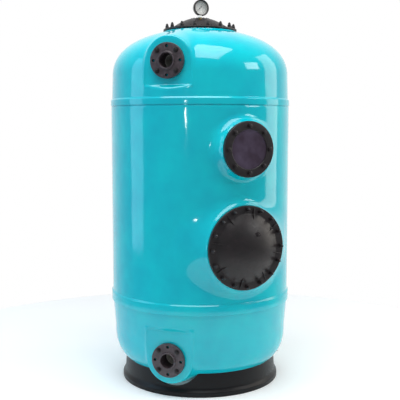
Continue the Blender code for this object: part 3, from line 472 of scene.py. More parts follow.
def moulding(name, rows, closed=True, merge=0.00001):
    """A grid bent round the tank through rows of points. A closed one joins its last row to its first."""
    points = np.concatenate(rows)
    if closed:
        points = np.concatenate([points, points[:1]])
    count, across = points.shape[:2]
    clear_selection()
    bpy.ops.mesh.primitive_grid_add(x_subdivisions=across - 1, y_subdivisions=count - 1, size=2.0)
    obj = bpy.context.object
    obj.name = name
    obj.data.name = name
    flat = np.empty(len(obj.data.vertices) * 3)
    obj.data.vertices.foreach_get("co", flat)
    flat = flat.reshape(-1, 3)
    column = np.rint((flat[:, 0] + 1.0) / 2.0 * (across - 1)).astype(int)
    row = np.rint((flat[:, 1] + 1.0) / 2.0 * (count - 1)).astype(int)
    obj.data.vertices.foreach_set("co", points[row, column].astype(np.float32).ravel())
    obj.data.update()
    return tidy_mesh(obj, merge)


def spread(low, high, step):
    """Evenly spaced numbers from low to high, about a step apart."""
    return list(np.linspace(low, high, max(2, round(abs(high - low) / step) + 1)))


# %% The middle moulding
MIDDLE_SIDE = rounded(
    [
        (0.5545, 0.4995),
        (0.5573, 0.5005, 0.002),
        (0.5573, 0.5545, 0.006),
        (0.5500, 0.5635, 0.008),
        (0.55, 1.690),
    ], 5
)
MIDDLE_INSIDE = [
    (0.5483, 0.4995),
    (0.5483, 0.5465),
    (0.541, 0.5565),
    (0.541, 1.670),
    (0.5437, 1.680),
    (0.5437, 1.722),
]


def middle_outside(points):
    body = body_field(points, MIDDLE_SIDE, 9.0, 1.0, 1.0, 2.0, 1.0)
    manway = neck_field(points, MANWAY, 0.885, 0.566, 0.247, 0.340, 0.420, 0.012)
    sight = neck_field(points, MANWAY, 1.444, 0.588, 0.163, 0.196, 0.505, 0.015)
    return smooth_min(smooth_min(body, manway, 0.045), sight, 0.028)


def middle_inside(points):
    body = body_field(points, MIDDLE_INSIDE, 9.0, 1.0, 1.0, 2.0, 1.0)
    manway = neck_field(points, MANWAY, 0.885, 0.542, 0.232, 0.322, 0.411, 0.001)
    sight = neck_field(points, MANWAY, 1.444, 0.558, 0.115, 0.178, 0.496, 0.001)
    return smooth_min(smooth_min(body, manway, 0.03), sight, 0.02)


turn = headings(2.0, 92.0, 0.7, 2.0)
low_rows = [z for r, z in MIDDLE_SIDE[:-1]]
outer_heights = low_rows + spread(
    0.575,
    0.60,
    0.0125,
) + spread(0.607, 1.65, 0.0072) + spread(1.66, 1.6885, 0.014)
inner_heights = [1.690, 1.680, 1.670] + spread(1.65, 0.60, 0.012) + [0.575, 0.5565, 0.5465, 0.4995]
outside = reach(middle_outside, *level_rows(turn, outer_heights))
inside = reach(middle_inside, *level_rows(turn, inner_heights))
lip = [level_ring(turn, 0.549, 1.690), level_ring(turn, 0.5478, 1.691), level_ring(turn, 0.5478, 1.720)]
lip += [level_ring(turn, 0.5437, 1.722)]
middle = moulding("middle_moulding", [outside] + lip + [inside])
print(middle.name, len(middle.data.polygons), "faces")

# %% Boring the manway and the sight glass
for heading, height, radius, low, high in (
    (MANWAY, 0.885, 0.200, 0.40, 0.62),
    (MANWAY, 1.444, 0.106, 0.40, 0.62),
):
    clear_selection()
    bpy.ops.mesh.primitive_cylinder_add(
        vertices=96,
        radius=radius,
        depth=high - low,
        location=(0.0, 0.0, (low + high) / 2.0),
    )
    cutter = bpy.context.object
    only(cutter)
    bpy.ops.object.transform_apply(location=True, rotation=True, scale=True)
    drill(middle, put(cutter, heading, height))
smooth(middle, 40.0)

# %% The top moulding
TOP_SIDE = rounded(
    [
        (0.5500, 1.694),
        (0.5530, 1.6945, 0.003),
        (0.5530, 1.7285, 0.006),
        (0.5447, 1.7375, 0.008),
        (0.5405, 1.870),
    ], 5
)
TOP_INSIDE = [(0.5440, 1.694), (0.5440, 1.7185), (0.5355, 1.7355), (0.5315, 1.870)]
UPPER_NOZZLE = 1.936
LOWER_NOZZLE = 0.228
PAD_FACE = 0.522
PAD_RADIUS = 0.141
UPPER_STRAIGHT = 0.134
LOWER_STRAIGHT = 0.172
PAD_BLEND = 0.022
NECK_TOP = 2.150


def pad_frame(points, height, up):
    """Distances out from the axis, across the pad and up from its nozzle, and how much the pad has flared."""
    out, across = along(NOZZLES, points)
    return out, across, (points[..., 2] - height) * up, 1.0 + 0.25 * (PAD_FACE - out) / PAD_RADIUS


def pad_outside(points, height, straight, up):
    """The pad's boss, and the recess in front of its face."""
    out, across, rise, grow = pad_frame(points, height, up)
    boss = arch_field(across / grow, rise / grow, PAD_RADIUS, straight) * 0.97
    boss = np.maximum(smooth_max(boss, out - PAD_FACE - 0.004, 0.010), 0.26 - out)
    widen = np.maximum(out - PAD_FACE, 0.0)
    recess = arch_field(across, rise, PAD_RADIUS + widen - 0.002, straight + widen - 0.002) * 0.75
    return boss, smooth_max(recess, PAD_FACE - out, 0.004)


def pad_inside(points, height, straight, up):
    """The hollow inside the pad, and the backing behind its face."""
    out, across, rise, grow = pad_frame(points, height, up)
    hollow = arch_field(across / grow, rise / grow, 0.129, straight - 0.012) * 0.97
    hollow = np.maximum(np.maximum(hollow, out - PAD_FACE + 0.012), 0.248 - out)
    backing = np.maximum(np.abs(across) - 0.165, np.maximum(rise - 0.165, -rise - straight - 0.048))
    return hollow, np.maximum(backing, PAD_FACE - 0.012 - out)


def top_outside(points):
    body = body_field(points, TOP_SIDE, 1.870, 0.5405, 0.290, 2.3, 1.0)
    boss, recess = pad_outside(points, UPPER_NOZZLE, UPPER_STRAIGHT, 1.0)
    neck = np.maximum(np.hypot(points[..., 0], points[..., 1]) - 0.222, points[..., 2] - NECK_TOP)
    return smooth_min(smooth_max(smooth_min(body, boss, PAD_BLEND), -recess, 0.007), neck, 0.012)


def top_inside(points):
    body = body_field(points, TOP_INSIDE, 1.870, 0.5315, 0.281, 2.3, 1.0)
    hollow, backing = pad_inside(points, UPPER_NOZZLE, UPPER_STRAIGHT, 1.0)
    return np.maximum(np.minimum(body, hollow), -backing)


turn = headings(-27.0, 27.0, 0.42, 2.25)
outer_heights = [z for r, z in TOP_SIDE[:-1]] + spread(1.744, 1.766, 0.011) + spread(1.770, 1.80, 0.004)
elevations = spread(0.45, 30.0, 0.45) + spread(31.0, 56.0, 1.25) + spread(56.3, 57.5, 0.24)
inner_heights = [1.80, 1.785, 1.76, 1.7355, 1.7185, 1.694]
outside = reach(top_outside, *level_rows(turn, outer_heights))
crown = reach(top_outside, *star_rows(turn, 1.80, elevations))
inner_crown = reach(top_inside, *star_rows(turn, 1.80, spread(53.0, 31.0, 2.0) + spread(30.0, 1.0, 1.0)))
inside = reach(top_inside, *level_rows(turn, inner_heights))
MOUTH = ((0.222, 2.1490), (0.221, NECK_TOP), (0.192, NECK_TOP), (0.192, 2.118), (0.217, 2.118))
mouth = [level_ring(turn, r, z) for r, z in MOUTH]
top = moulding("top_moulding", [outside, crown] + mouth + [inner_crown, inside])
print(top.name, len(top.data.polygons), "faces")

# %% The bottom moulding
BOTTOM_SIDE = [(0.5357, 0.3365), (0.5480, 0.4955), (0.5480, 0.54)]
BOTTOM_INSIDE = [(0.5267, 0.3365), (0.5390, 0.4955), (0.5390, 0.54)]


def bottom_outside(points):
    body = body_field(points, BOTTOM_SIDE, 0.3365, 0.5357, 0.300, 2.8, -1.0)
    boss, recess = pad_outside(points, LOWER_NOZZLE, LOWER_STRAIGHT, -1.0)
    return smooth_max(smooth_min(body, boss, PAD_BLEND), -recess, 0.007)


def bottom_inside(points):
    body = body_field(points, BOTTOM_INSIDE, 0.3365, 0.5267, 0.291, 2.8, -1.0)
    hollow, backing = pad_inside(points, LOWER_NOZZLE, LOWER_STRAIGHT, -1.0)
    return np.maximum(np.minimum(body, hollow), -backing)


outer_heights = spread(0.404, 0.440, 0.0045) + [0.455, 0.475, 0.4955, 0.515, 0.5385]
inner_heights = [0.5385, 0.4955, 0.45, 0.41]
dish = reach(
    bottom_outside,
    *star_rows(turn, 0.400, [-89.99] + spread(-88.0, -41.0, 2.35) + spread(-40.0, 0.0, 0.5)),
)
outside = reach(bottom_outside, *level_rows(turn, outer_heights))
inside = reach(bottom_inside, *level_rows(turn, inner_heights))
lining = reach(
    bottom_inside,
    *star_rows(turn, 0.400, spread(0.0, -40.0, 1.0) + spread(-42.0, -88.0, 4.0) + [-89.99]),
)
base = moulding("bottom_moulding", [dish, outside, inside, lining], closed=False, merge=0.0003)
print(base.name, len(base.data.polygons), "faces")

# %% Boring the two nozzles
for shell, height in ((top, UPPER_NOZZLE), (base, LOWER_NOZZLE)):
    clear_selection()
    bpy.ops.mesh.primitive_cylinder_add(vertices=64, radius=0.0545, depth=0.20, location=(0.0, 0.0, 0.55))
    cutter = bpy.context.object
    only(cutter)
    bpy.ops.object.transform_apply(location=True, rotation=True, scale=True)
    drill(shell, put(cutter, NOZZLES, height))
    smooth(shell, 40.0)
# %% [markdown]
# ## Finishes
# Each finish is named for the real material. Patterns use Object coordinates in metres, so a noise
# scale is one over the size of its features. The tank's gelcoat is what the eye sees most. It is a
# hard, glossy polyester skin that was rolled in a mould, so it mirrors the room, but over broad soft
# waves of about 90 mm and a fine orange peel of about 4 mm.

# %% A new finish
def finish(name, colour, roughness, metallic=0.0, **sockets):
    """A material with its shader set, its tree and its Object coordinates."""
    made = bpy.data.materials.new(name)
    made.use_nodes = True
    tree = made.node_tree
    shader = tree.nodes["Principled BSDF"]
    shader.inputs["Base Color"].default_value = linear(colour)
    shader.inputs["Roughness"].default_value = roughness
    shader.inputs["Metallic"].default_value = metallic
    for socket, value in sockets.items():
        shader.inputs[socket.replace("_", " ")].default_value = value
    place = add_node(tree, "ShaderNodeTexCoord").outputs["Object"]
    return made, tree, shader, place


def noise(tree, place, size, detail=2.0, roughness=0.5, stretch=None):
    """Noise with features of a size in metres, stretched along an axis if asked."""
    if stretch:
        place = add_node(tree, "ShaderNodeMapping", {"Vector": place, "Scale": stretch}).outputs["Vector"]
    settings = {"Vector": place, "Scale": 1.0 / size, "Detail": detail, "Roughness": roughness}
    return add_node(tree, "ShaderNodeTexNoise", settings).outputs["Fac"]


def bump(tree, height, depth, normal=None, strength=1.0):
    """A bump of a depth in metres, over another one if given."""
    settings = {"Height": height, "Distance": depth, "Strength": strength}
    if normal is not None:
        settings["Normal"] = normal
    return add_node(tree, "ShaderNodeBump", settings).outputs["Normal"]


def spread_over(tree, factor, low, high):
    """Maps a noise's useful middle to a range of values."""
    settings = {"Value": factor, "From Min": 0.3, "From Max": 0.7, "To Min": low, "To Max": high}
    return add_node(tree, "ShaderNodeMapRange", settings).outputs["Result"]


# %% Turquoise gelcoat on glass fibre
# Polyester gelcoat from a polished mould: IOR 1.52, a wet-looking gloss over an even colour.
gelcoat, tree, shader, place = finish("turquoise polyester gelcoat", "#00bccb", 0.10, IOR=1.52)
mottle = noise(tree, place, 0.16, 3.0)
colour = ramp(tree, mottle, [(0.30, "#00b4c6"), (0.5, "#00bccb"), (0.70, "#00c4cf")])
tree.links.new(colour, shader.inputs["Base Color"])
haze = noise(tree, place, 0.035, 4.0, 0.6, (1.0, 1.0, 0.35))
tree.links.new(spread_over(tree, haze, 0.05, 0.13), shader.inputs["Roughness"])
waves = noise(tree, place, 0.09, 1.5, 0.4, (1.0, 1.0, 0.45))
peel = noise(tree, place, 0.004, 2.0)
tree.links.new(bump(tree, peel, 0.00003, bump(tree, waves, 0.0009)), shader.inputs["Normal"])

# %% Black moulded plastic
# Glass-filled polypropylene, moulded in a spark-eroded mould: brownish black with a fine grain.
black, tree, shader, place = finish("black glass-filled polypropylene", "#140e10", 0.42, IOR=1.49)
flow = noise(tree, place, 0.05, 4.0, 0.6)
tree.links.new(
    ramp(tree, flow, [(0.3, "#100b0c"), (0.55, "#170f12"), (0.75, "#21181a")]),
    shader.inputs["Base Color"],
)
tree.links.new(spread_over(tree, noise(tree, place, 0.012, 3.0), 0.34, 0.52), shader.inputs["Roughness"])
grain = noise(tree, place, 0.0016, 2.0)
tree.links.new(bump(tree, grain, 0.00008), shader.inputs["Normal"])

# %% Stand plastic
# Rotationally moulded polyethylene: black with a waxy, slightly violet sheen and a pebbled skin.
stand_black, tree, shader, place = finish(
    "black rotomoulded polyethylene",
    "#0a090b",
    0.38,
    IOR=1.51,
    Specular_IOR_Level=0.25,
)
scuff = noise(tree, place, 0.02, 5.0, 0.65, (1.0, 1.0, 3.0))
tree.links.new(
    ramp(tree, scuff, [(0.35, "#070608"), (0.6, "#0c0a0e"), (0.8, "#17141a")]),
    shader.inputs["Base Color"],
)
tree.links.new(spread_over(tree, scuff, 0.30, 0.50), shader.inputs["Roughness"])
pebble = noise(tree, place, 0.003, 2.0)
tree.links.new(bump(tree, pebble, 0.00015), shader.inputs["Normal"])

# %% Dark grey PVC
# Injection-moulded uPVC: warm dark grey, semi-matt, with faint flow marks round the gate.
pvc, tree, shader, place = finish("dark grey moulded uPVC", "#3f353a", 0.40, IOR=1.53)
marks = noise(tree, place, 0.018, 4.0, 0.6)
tree.links.new(
    ramp(tree, marks, [(0.3, "#352c31"), (0.55, "#43393e"), (0.75, "#544a4f")]),
    shader.inputs["Base Color"],
)
tree.links.new(spread_over(tree, marks, 0.33, 0.48), shader.inputs["Roughness"])
tree.links.new(bump(tree, noise(tree, place, 0.0012), 0.00006), shader.inputs["Normal"])

# %% White pipe
# Extruded uPVC pipe: cool white, with fine die lines and a dusting from handling.
pipe, tree, shader, place = finish("white extruded uPVC pipe", "#e2e1dc", 0.35, IOR=1.53)
dust = noise(tree, place, 0.03, 4.0)
tree.links.new(ramp(tree, dust, [(0.35, "#d3d1c9"), (0.6, "#e4e3de")]), shader.inputs["Base Color"])
tree.links.new(spread_over(tree, dust, 0.28, 0.45), shader.inputs["Roughness"])
tree.links.new(bump(tree, noise(tree, place, 0.002), 0.00004), shader.inputs["Normal"])

# %% Rubber
# Moulded EPDM: dead black, with a faint bloom of grey where it has been pressed.
rubber, tree, shader, place = finish("black EPDM rubber", "#161616", 0.80, IOR=1.52)
bloom = noise(tree, place, 0.01, 4.0)
tree.links.new(ramp(tree, bloom, [(0.4, "#131313"), (0.75, "#2a2a2a")]), shader.inputs["Base Color"])
tree.links.new(bump(tree, noise(tree, place, 0.0008), 0.00005), shader.inputs["Normal"])

# %% Stainless steel
# Cold-rolled 316 stainless, brushed round the ring: grey, with hair-fine lines about 0.4 mm apart.
steel, tree, shader, place = finish("brushed 316 stainless steel", "#c3c3c0", 0.28, 1.0)
lines = noise(tree, place, 0.0008, 3.0, 0.6, (1.0, 1.0, 6.0))
tree.links.new(spread_over(tree, lines, 0.20, 0.36), shader.inputs["Roughness"])
stain = noise(tree, place, 0.02, 3.0)
tree.links.new(ramp(tree, stain, [(0.4, "#b4b4b1"), (0.65, "#cdcdca")]), shader.inputs["Base Color"])
tree.links.new(bump(tree, lines, 0.00002), shader.inputs["Normal"])

# %% Brass
# Turned free-cutting brass, dulled in damp air: yellow-brown with darker patches.
brass, tree, shader, place = finish("turned brass", "#8f7c54", 0.30, 1.0)
tarnish = noise(tree, place, 0.008, 4.0)
tree.links.new(ramp(tree, tarnish, [(0.35, "#6f5f3c"), (0.65, "#9c8860")]), shader.inputs["Base Color"])
tree.links.new(spread_over(tree, tarnish, 0.24, 0.42), shader.inputs["Roughness"])

# %% White enamel
# Stove enamel on a pressed dial: flat white, a little soft in gloss.
enamel, tree, shader, place = finish("white stove enamel", "#eeeeea", 0.42, IOR=1.5)
age = noise(tree, place, 0.03, 2.0)
tree.links.new(ramp(tree, age, [(0.3, "#e6e6e0"), (0.7, "#f4f4f1")]), shader.inputs["Base Color"])
tree.links.new(bump(tree, noise(tree, place, 0.001), 0.00001), shader.inputs["Normal"])

# %% Dial printing
# Screen-printed ink: matt black, thin enough to be a little uneven.
ink, tree, shader, place = finish("black screen-printed ink", "#1b1b1d", 0.55, IOR=1.5)
tree.links.new(
    ramp(tree, noise(tree, place, 0.002), [(0.3, "#151517"), (0.8, "#2b2b2d")]),
    shader.inputs["Base Color"],
)

# %% Clear gauge glass
# Float glass: clear, with the faintest smear of a wiped surface.
glass, tree, shader, place = finish("clear gauge glass", "#ffffff", 0.02, IOR=1.50, Alpha=0.10)
smear = noise(tree, place, 0.02, 3.0)
tree.links.new(spread_over(tree, smear, 0.01, 0.05), shader.inputs["Roughness"])

# %% Sight pane, coloured with painted shade
# Cast acrylic, 15 mm thick, polished, with hairline scratches. Its dark plum brown is painted shade: the dark
# inside of the tank, as seen through a clear pane.
acrylic, tree, shader, place = finish(
    "acrylic pane in painted shade",
    "#473a4c",
    0.06,
    IOR=1.49,
    Transmission_Weight=0.10,
)
scratch = noise(tree, place, 0.01, 5.0, 0.7, (1.0, 1.0, 0.2))
tree.links.new(spread_over(tree, scratch, 0.04, 0.14), shader.inputs["Roughness"])
tree.links.new(
    ramp(tree, noise(tree, place, 0.08), [(0.3, "#3a2c3b"), (0.7, "#52465a")]),
    shader.inputs["Base Color"],
)
print(len(bpy.data.materials), "materials")
# %% The mouldings take the gelcoat
finished(middle, gelcoat, "tank", "gelcoat", "middle_shell")
finished(top, gelcoat, "tank", "gelcoat", "top_shell")
finished(base, gelcoat, "tank", "gelcoat", "bottom_shell")

# %% [markdown]
# ## The stand
# The stand is one rotationally moulded ring. Its wall leans out slightly to a rolled foot, and its
# top edge dips where the lower nozzle's pad hangs over it. A turned ring gives the section, and the
# dip is a cut by a cylinder on the lower nozzle's axis that widens towards the tank's axis.

# %% Stand
stand = turned(
    "stand_ring",
    [
        (0.4540, 0.1540, 0.002),
        (0.4680, 0.1570, 0.005),
        (0.4745, 0.0440, 0.030),
        (0.4900, 0.0260, 0.010),
        (0.4900, 0.0000, 0.004),
        (0.4400, 0.0000, 0.003),
        (0.4400, 0.0140, 0.004),
        (0.4540, 0.0400, 0.012),
    ],
    segments=160,
    ring=True,
)
clear_selection()
bpy.ops.mesh.primitive_cylinder_add(vertices=96, radius=0.147, depth=0.30, location=(0.0, 0.0, 0.42))
gate = bpy.context.object
bpy.ops.object.mode_set(mode="EDIT")
bpy.ops.mesh.select_mode(type="FACE")
bpy.ops.mesh.select_all(action="DESELECT")
bpy.ops.object.mode_set(mode="OBJECT")
for polygon in gate.data.polygons:
    polygon.select = polygon.center.z < -0.1
bpy.ops.object.mode_set(mode="EDIT")
bpy.ops.transform.resize(value=(1.44, 1.44, 1.0), center_override=(0.0, 0.0, 0.27))
bpy.ops.mesh.select_mode(type="VERT")
bpy.ops.object.mode_set(mode="OBJECT")
bpy.ops.object.transform_apply(location=True, rotation=True, scale=True)
drill(stand, put(gate, NOZZLES, LOWER_NOZZLE))
smooth(stand, 40.0)
finished(stand, stand_black, "tank", "black_plastic", "base_stand")

# %% [markdown]
# ## Nuts, washers and caps
# Every bolted joint here repeats one small fastener, so each kind is modelled once and copied. A hexagon
# starts as a six-sided cylinder whose top rim is bevelled, which gives a nut its worn round shoulders.

# %% Fasteners
def hexagon(name, across_flats, low, high, chamfer=0.0015):
    """A hexagon about Z with softened edges."""
    clear_selection()
    radius = across_flats / 2.0 / math.cos(math.radians(30.0))
    bpy.ops.mesh.primitive_cylinder_add(
        vertices=6,
        radius=radius,
        depth=high - low,
        location=(0.0, 0.0, (low + high) / 2.0),
    )
    obj = bpy.context.object
    obj.name = name
    bpy.ops.object.transform_apply(location=True, rotation=True, scale=True)
    apply_modifier(obj, "BEVEL", width=chamfer, segments=2, limit_method="ANGLE")
    return obj


def bolt_head(name, seat):
    """A washer and a hexagon head, standing on a seat."""
    washer = turned(
        name + "_washer",
        [
            (0.0, seat + 0.0026),
            (0.0150, seat + 0.0026, 0.0008),
            (0.0150, seat + 0.0003),
            (0.0, seat + 0.0003),
        ],
        24,
    )
    head = hexagon(name + "_head", 0.0205, seat + 0.0026, seat + 0.0125, 0.0018)
    return joined(name, [washer, head])


def acorn_nut(name, seat, width, tall):
    """A washer, a hexagon and a domed cap that ends in a blunt point."""
    washer = turned(
        name + "_washer",
        [
            (0.0, seat + 0.0028),
            (width * 0.62, seat + 0.0028, 0.0008),
            (width * 0.62, seat + 0.0003),
            (0.0, seat + 0.0003),
        ],
        24,
    )
    nut = hexagon(name + "_hex", width, seat + 0.0028, seat + tall * 0.50, 0.0014)
    cap = [
        (0.0, seat + tall),
        (width * 0.12, seat + tall * 0.985, 0.002),
        (width * 0.36, seat + tall * 0.80, 0.004),
    ]
    cap += [
        (width * 0.44, seat + tall * 0.5, 0.002),
        (width * 0.44, seat + tall * 0.4),
        (0.0, seat + tall * 0.4),
    ]
    dome = turned(name + "_cap", cap, 24, steps=3)
    return joined(name, [washer, nut, dome])


def ring_of(pattern, name, count, pitch, phase=0.0):
    """Copies of a pattern on a pitch circle about Z, as one list; the pattern itself is removed."""
    made = []
    for i in range(count):
        angle = math.radians(90.0 - phase - 360.0 * i / count)
        obj = copy_of(pattern, f"{name}_{i + 1}")
        move(
            obj,
            (pitch * math.cos(angle), pitch * math.sin(angle), 0.0),
            spin=math.degrees(angle) + 17.0 * i,
        )
        made.append(obj)
    bpy.data.objects.remove(pattern)
    return made


# %% [markdown]
# ## Domed covers
# The manway cover and the top lid are compression mouldings: a flat bolting flange that runs up into
# a shallow dome, with thin radial ribs between the bolts. The dome is turned, and the ribs are thin
# blocks that are laid along it, rounded and joined.

# %% A domed cover
def dome_corners(radius, flange, dome_radius, rise, wall, fillet, steps=9):
    """The outline of a cover on Z = 0: the dome from its crest, the flange, and the hollow below."""
    ball = (dome_radius**2 + rise**2) / (2.0 * rise)
    corners = []
    for i in range(steps):
        at = dome_radius * i / steps
        corners.append((at, flange + math.sqrt(ball**2 - at**2) - ball + rise))
    corners.append((dome_radius, flange, fillet))
    corners += [(radius, flange, 0.004), (radius, 0.0, 0.002)]
    inner = dome_radius - wall
    for i in range(steps, -1, -1):
        at = inner * i / steps
        corners.append((at, max(flange - wall, 0.0) + math.sqrt(ball**2 - at**2) - ball + rise * 0.93))
    return corners


def rib(name, start, end, half, low_start, low_end, proud):
    """A thin rounded rib that lies along +Y from one radius to another, following a slope."""
    clear_selection()
    bpy.ops.mesh.primitive_cube_add(size=1.0, location=(0.0, (start + end) / 2.0, 0.0))
    obj = bpy.context.object
    obj.name = name
    bpy.ops.transform.resize(value=(half * 2.0, end - start, 1.0))
    bpy.ops.object.transform_apply(location=True, rotation=True, scale=True)
    for vertex in obj.data.vertices:
        near = vertex.co.y < (start + end) / 2.0
        base_height = low_start if near else low_end
        vertex.co.z = base_height + (proud if vertex.co.z > 0.0 else -0.006)
    apply_modifier(obj, "BEVEL", width=half * 0.7, segments=3, limit_method="ANGLE")
    return obj


# %% Manway cover
COVER_BACK = 0.5696
cover = turned("manway_dome", dome_corners(0.2425, 0.016, 0.196, 0.065, 0.014, 0.02), 128)
ribs = []
for i in range(8):
    one = rib(f"cover_rib_{i}", 0.168, 0.232, 0.0018, 0.0335, 0.0175, 0.0026)
    ribs.append(move(one, spin=-11.25 - 45.0 * i))
cover = joined("manway_dome", [cover] + ribs)
mark = turned("centre_mark", [(0.0, 0.0830), (0.0060, 0.0830, 0.0006), (0.0066, 0.0800), (0.0, 0.0790)], 4)
seat = turned("plug_boss", [(0.0, 0.071), (0.0185, 0.071, 0.002), (0.0205, 0.060), (0.0, 0.058)], 32)
move(seat, (0.039, 0.079, -0.0015))
cover = joined("manway_dome", [cover, mark, seat])
smooth(cover, 40.0)
put(cover, MANWAY, 0.885, COVER_BACK)
finished(cover, black, "tank", "black_plastic", "manway_cover")

# %% Manway plug and nuts
plug_surface = COVER_BACK + 0.016 + 0.0492
plug = turned("plug", [(0.0, 0.0), (0.0128, 0.0, 0.001), (0.0128, 0.006, 0.0015), (0.0, 0.006)], 32)
plug_head = hexagon("plug_head", 0.0170, 0.005, 0.0105, 0.0014)
plug = joined("manway_plug_head", [plug, plug_head])
smooth(plug, 40.0)
put(plug, MANWAY, 0.885 + 0.079, plug_surface - 0.0006, across=0.039)
finished(plug, black, "tank", "black_plastic", "manway_plug")

nut = smooth(acorn_nut("cover_nut", 0.0, 0.0200, 0.0315), 40.0)
for i, obj in enumerate(ring_of(nut, "manway_nut", 16, 0.222)):
    put(obj, MANWAY, 0.885, COVER_BACK + 0.016)
    finished(obj, black, "tank", "black_plastic")

# %% Top lid
LID_BACK = 2.1536
lid = turned("lid_dome", dome_corners(0.226, 0.012, 0.180, 0.071, 0.012, 0.016), 128)
ribs = []
for i in range(16):
    one = rib(f"lid_rib_{i}", 0.052, 0.168, 0.0024, 0.0770, 0.0230, 0.0042)
    ribs.append(move(one, spin=-22.5 * i))
lid = joined("lid_dome", [lid] + ribs)
smooth(lid, 40.0)
move(lid, (0.0, 0.0, LID_BACK))
finished(lid, black, "tank", "black_plastic", "top_lid")

nut = smooth(acorn_nut("lid_nut_pattern", LID_BACK + 0.012, 0.0205, 0.0315), 40.0)
for obj in ring_of(nut, "lid_nut", 16, 0.207, 11.25):
    finished(obj, black, "tank", "black_plastic")

# %% [markdown]
# ## Sight glass
# A thick acrylic disc, coloured dark plum as painted shade of the tank's dark inside, sits in the
# rebate of a moulded ring, which eight hexagon bolts pull down on a gasket. The ring's inner edge is
# bevelled towards the pane, and catches a thin pale line.

# %% Sight ring, pane and bolts
SIGHT_FRONT = 0.6096
ring = turned(
    "sight_frame",
    [
        (0.1580, 0.6096, 0.005),
        (0.1580, 0.5883, 0.002),
        (0.1203, 0.5883),
        (0.1203, 0.6039),
        (0.1110, 0.6039, 0.001),
        (0.1110, 0.6075, 0.001),
        (0.1135, 0.6096, 0.002),
    ],
    segments=128,
    ring=True,
)
smooth(ring, 35.0)
put(ring, MANWAY, 1.444)
finished(ring, black, "tank", "black_plastic", "sight_ring")
pane = turned(
    "sight_disc",
    [(0.0, 0.6036), (0.1110, 0.6036), (0.1198, 0.6036, 0.001), (0.1198, 0.5887, 0.001), (0.0, 0.5887)],
    128,
)
smooth(pane, 35.0)
put(pane, MANWAY, 1.444)
# The pane's dark plum colour is painted shade of the tank's inside seen through it.
finished(pane, acrylic, "tank", "clear_acrylic", "sight_pane")
head = smooth(bolt_head("sight_head", SIGHT_FRONT), 40.0)
shank = turned(
    "sight_shank",
    [(0.0, SIGHT_FRONT), (0.0058, SIGHT_FRONT), (0.0058, 0.5680), (0.0, 0.5680)],
    16,
)
bolt = joined("sight_head", [head, shank])
for i, obj in enumerate(ring_of(bolt, "sight_bolt_head", 8, 0.131)):
    put(obj, MANWAY, 1.444)
    finished(obj, black, "tank", "black_plastic", f"sight_bolt_{i + 1}")

# %% [markdown]
# ## Nozzle flanges
# Both nozzles end in the same moulded flange: a disc with eight holes, a hub that stands out of its
# face, and a spigot through the tank's wall. Four of the holes hold it to the tank; the other four are
# left for the pipework. The first flange is turned and drilled, and the second is a copy.

# %% Flange
FLANGE_BACK = 0.5223
FLANGE_FRONT = 0.5443
flange = turned(
    "flange",
    [
        (0.0495, 0.5553, 0.0025),
        (0.0510, 0.5443, 0.004),
        (0.1000, 0.5443, 0.003),
        (0.1000, 0.5223, 0.001),
        (0.0540, 0.5223),
        (0.0540, 0.4620, 0.001),
        (0.0415, 0.4620, 0.001),
        (0.0415, 0.5553, 0.0015),
    ],
    segments=128,
    ring=True,
)
holes(flange, 8, 0.080, 0.009, FLANGE_BACK - 0.01, FLANGE_FRONT + 0.01)
smooth(flange, 35.0)
head = bolt_head("flange_head", FLANGE_FRONT)
tail = turned(
    "flange_tail",
    [
        (0.0, FLANGE_FRONT + 0.0165),
        (0.0062, FLANGE_FRONT + 0.0165, 0.0012),
        (0.0062, FLANGE_FRONT),
        (0.0073, 0.498),
        (0.0, 0.498),
    ],
    20,
)
bolt = smooth(joined("flange_bolt", [head, tail]), 40.0)
for label, height in (("upper", UPPER_NOZZLE), ("lower", LOWER_NOZZLE)):
    made = put(copy_of(flange, f"{label}_nozzle_flange"), NOZZLES, height)
    finished(made, pvc, "tank", "grey_pvc", f"{label}_flange")
    for i, obj in enumerate(ring_of(copy_of(bolt, "pattern"), f"{label}_nozzle_bolt", 4, 0.080, 45.0)):
        put(obj, NOZZLES, height)
        finished(obj, black, "tank", "black_plastic", f"{label}_flange_bolt_{i + 1}")
bpy.data.objects.remove(flange)
bpy.data.objects.remove(bolt)

# %% [markdown]
# ## Pressure gauge
# A 100 mm dial gauge stands on a brass stem. The case and bezel are turned, and the dial has its scale
# as thin raised print: ticks are one small block copied round an arc of 270 degrees, and the numbers
# are text made into meshes. The needle rides on its own body, because it turns.

# %% Case, bezel, glass and stem
GAUGE_HEIGHT = 2.296
GAUGE_OUT = 0.007
case = turned(
    "gauge_can",
    [
        (0.0, -0.0135),
        (0.0430, -0.0135, 0.002),
        (0.0435, 0.0119),
        (0.0460, 0.0119),
        (0.0460, -0.0160, 0.004),
        (0.0, -0.0160),
    ],
    96,
)
finished(put(smooth(case), GAUGE, GAUGE_HEIGHT, GAUGE_OUT), steel, "tank", "stainless", "gauge_case")
bezel = turned(
    "gauge_rim",
    [
        (0.0462, 0.0183, 0.002),
        (0.0500, 0.0170, 0.003),
        (0.0500, 0.0040, 0.002),
        (0.0463, 0.0040),
        (0.0463, 0.0123),
        (0.0410, 0.0123),
        (0.0412, 0.0150, 0.001),
    ],
    128,
    ring=True,
)
finished(put(smooth(bezel), GAUGE, GAUGE_HEIGHT, GAUGE_OUT), black, "tank", "black_plastic", "gauge_bezel")
lens = turned("gauge_lens", [(0.0, 0.0120), (0.0428, 0.0120, 0.0006), (0.0428, 0.0097), (0.0, 0.0097)], 96)
finished(put(smooth(lens), GAUGE, GAUGE_HEIGHT, GAUGE_OUT), glass, "tank", "clear_acrylic", "gauge_glass")
stem = turned(
    "gauge_shank",
    [
        (0.0, 2.2497),
        (0.0080, 2.2497, 0.001),
        (0.0070, 2.2450),
        (0.0070, 2.2369),
        (0.0073, 2.2369),
        (0.0073, 2.2070, 0.001),
        (0.0, 2.2070),
    ],
    32,
)
stem_nut = hexagon("stem_nut", 0.0200, 2.2372, 2.2452, 0.0012)
stem = joined("gauge_shank", [stem, stem_nut])
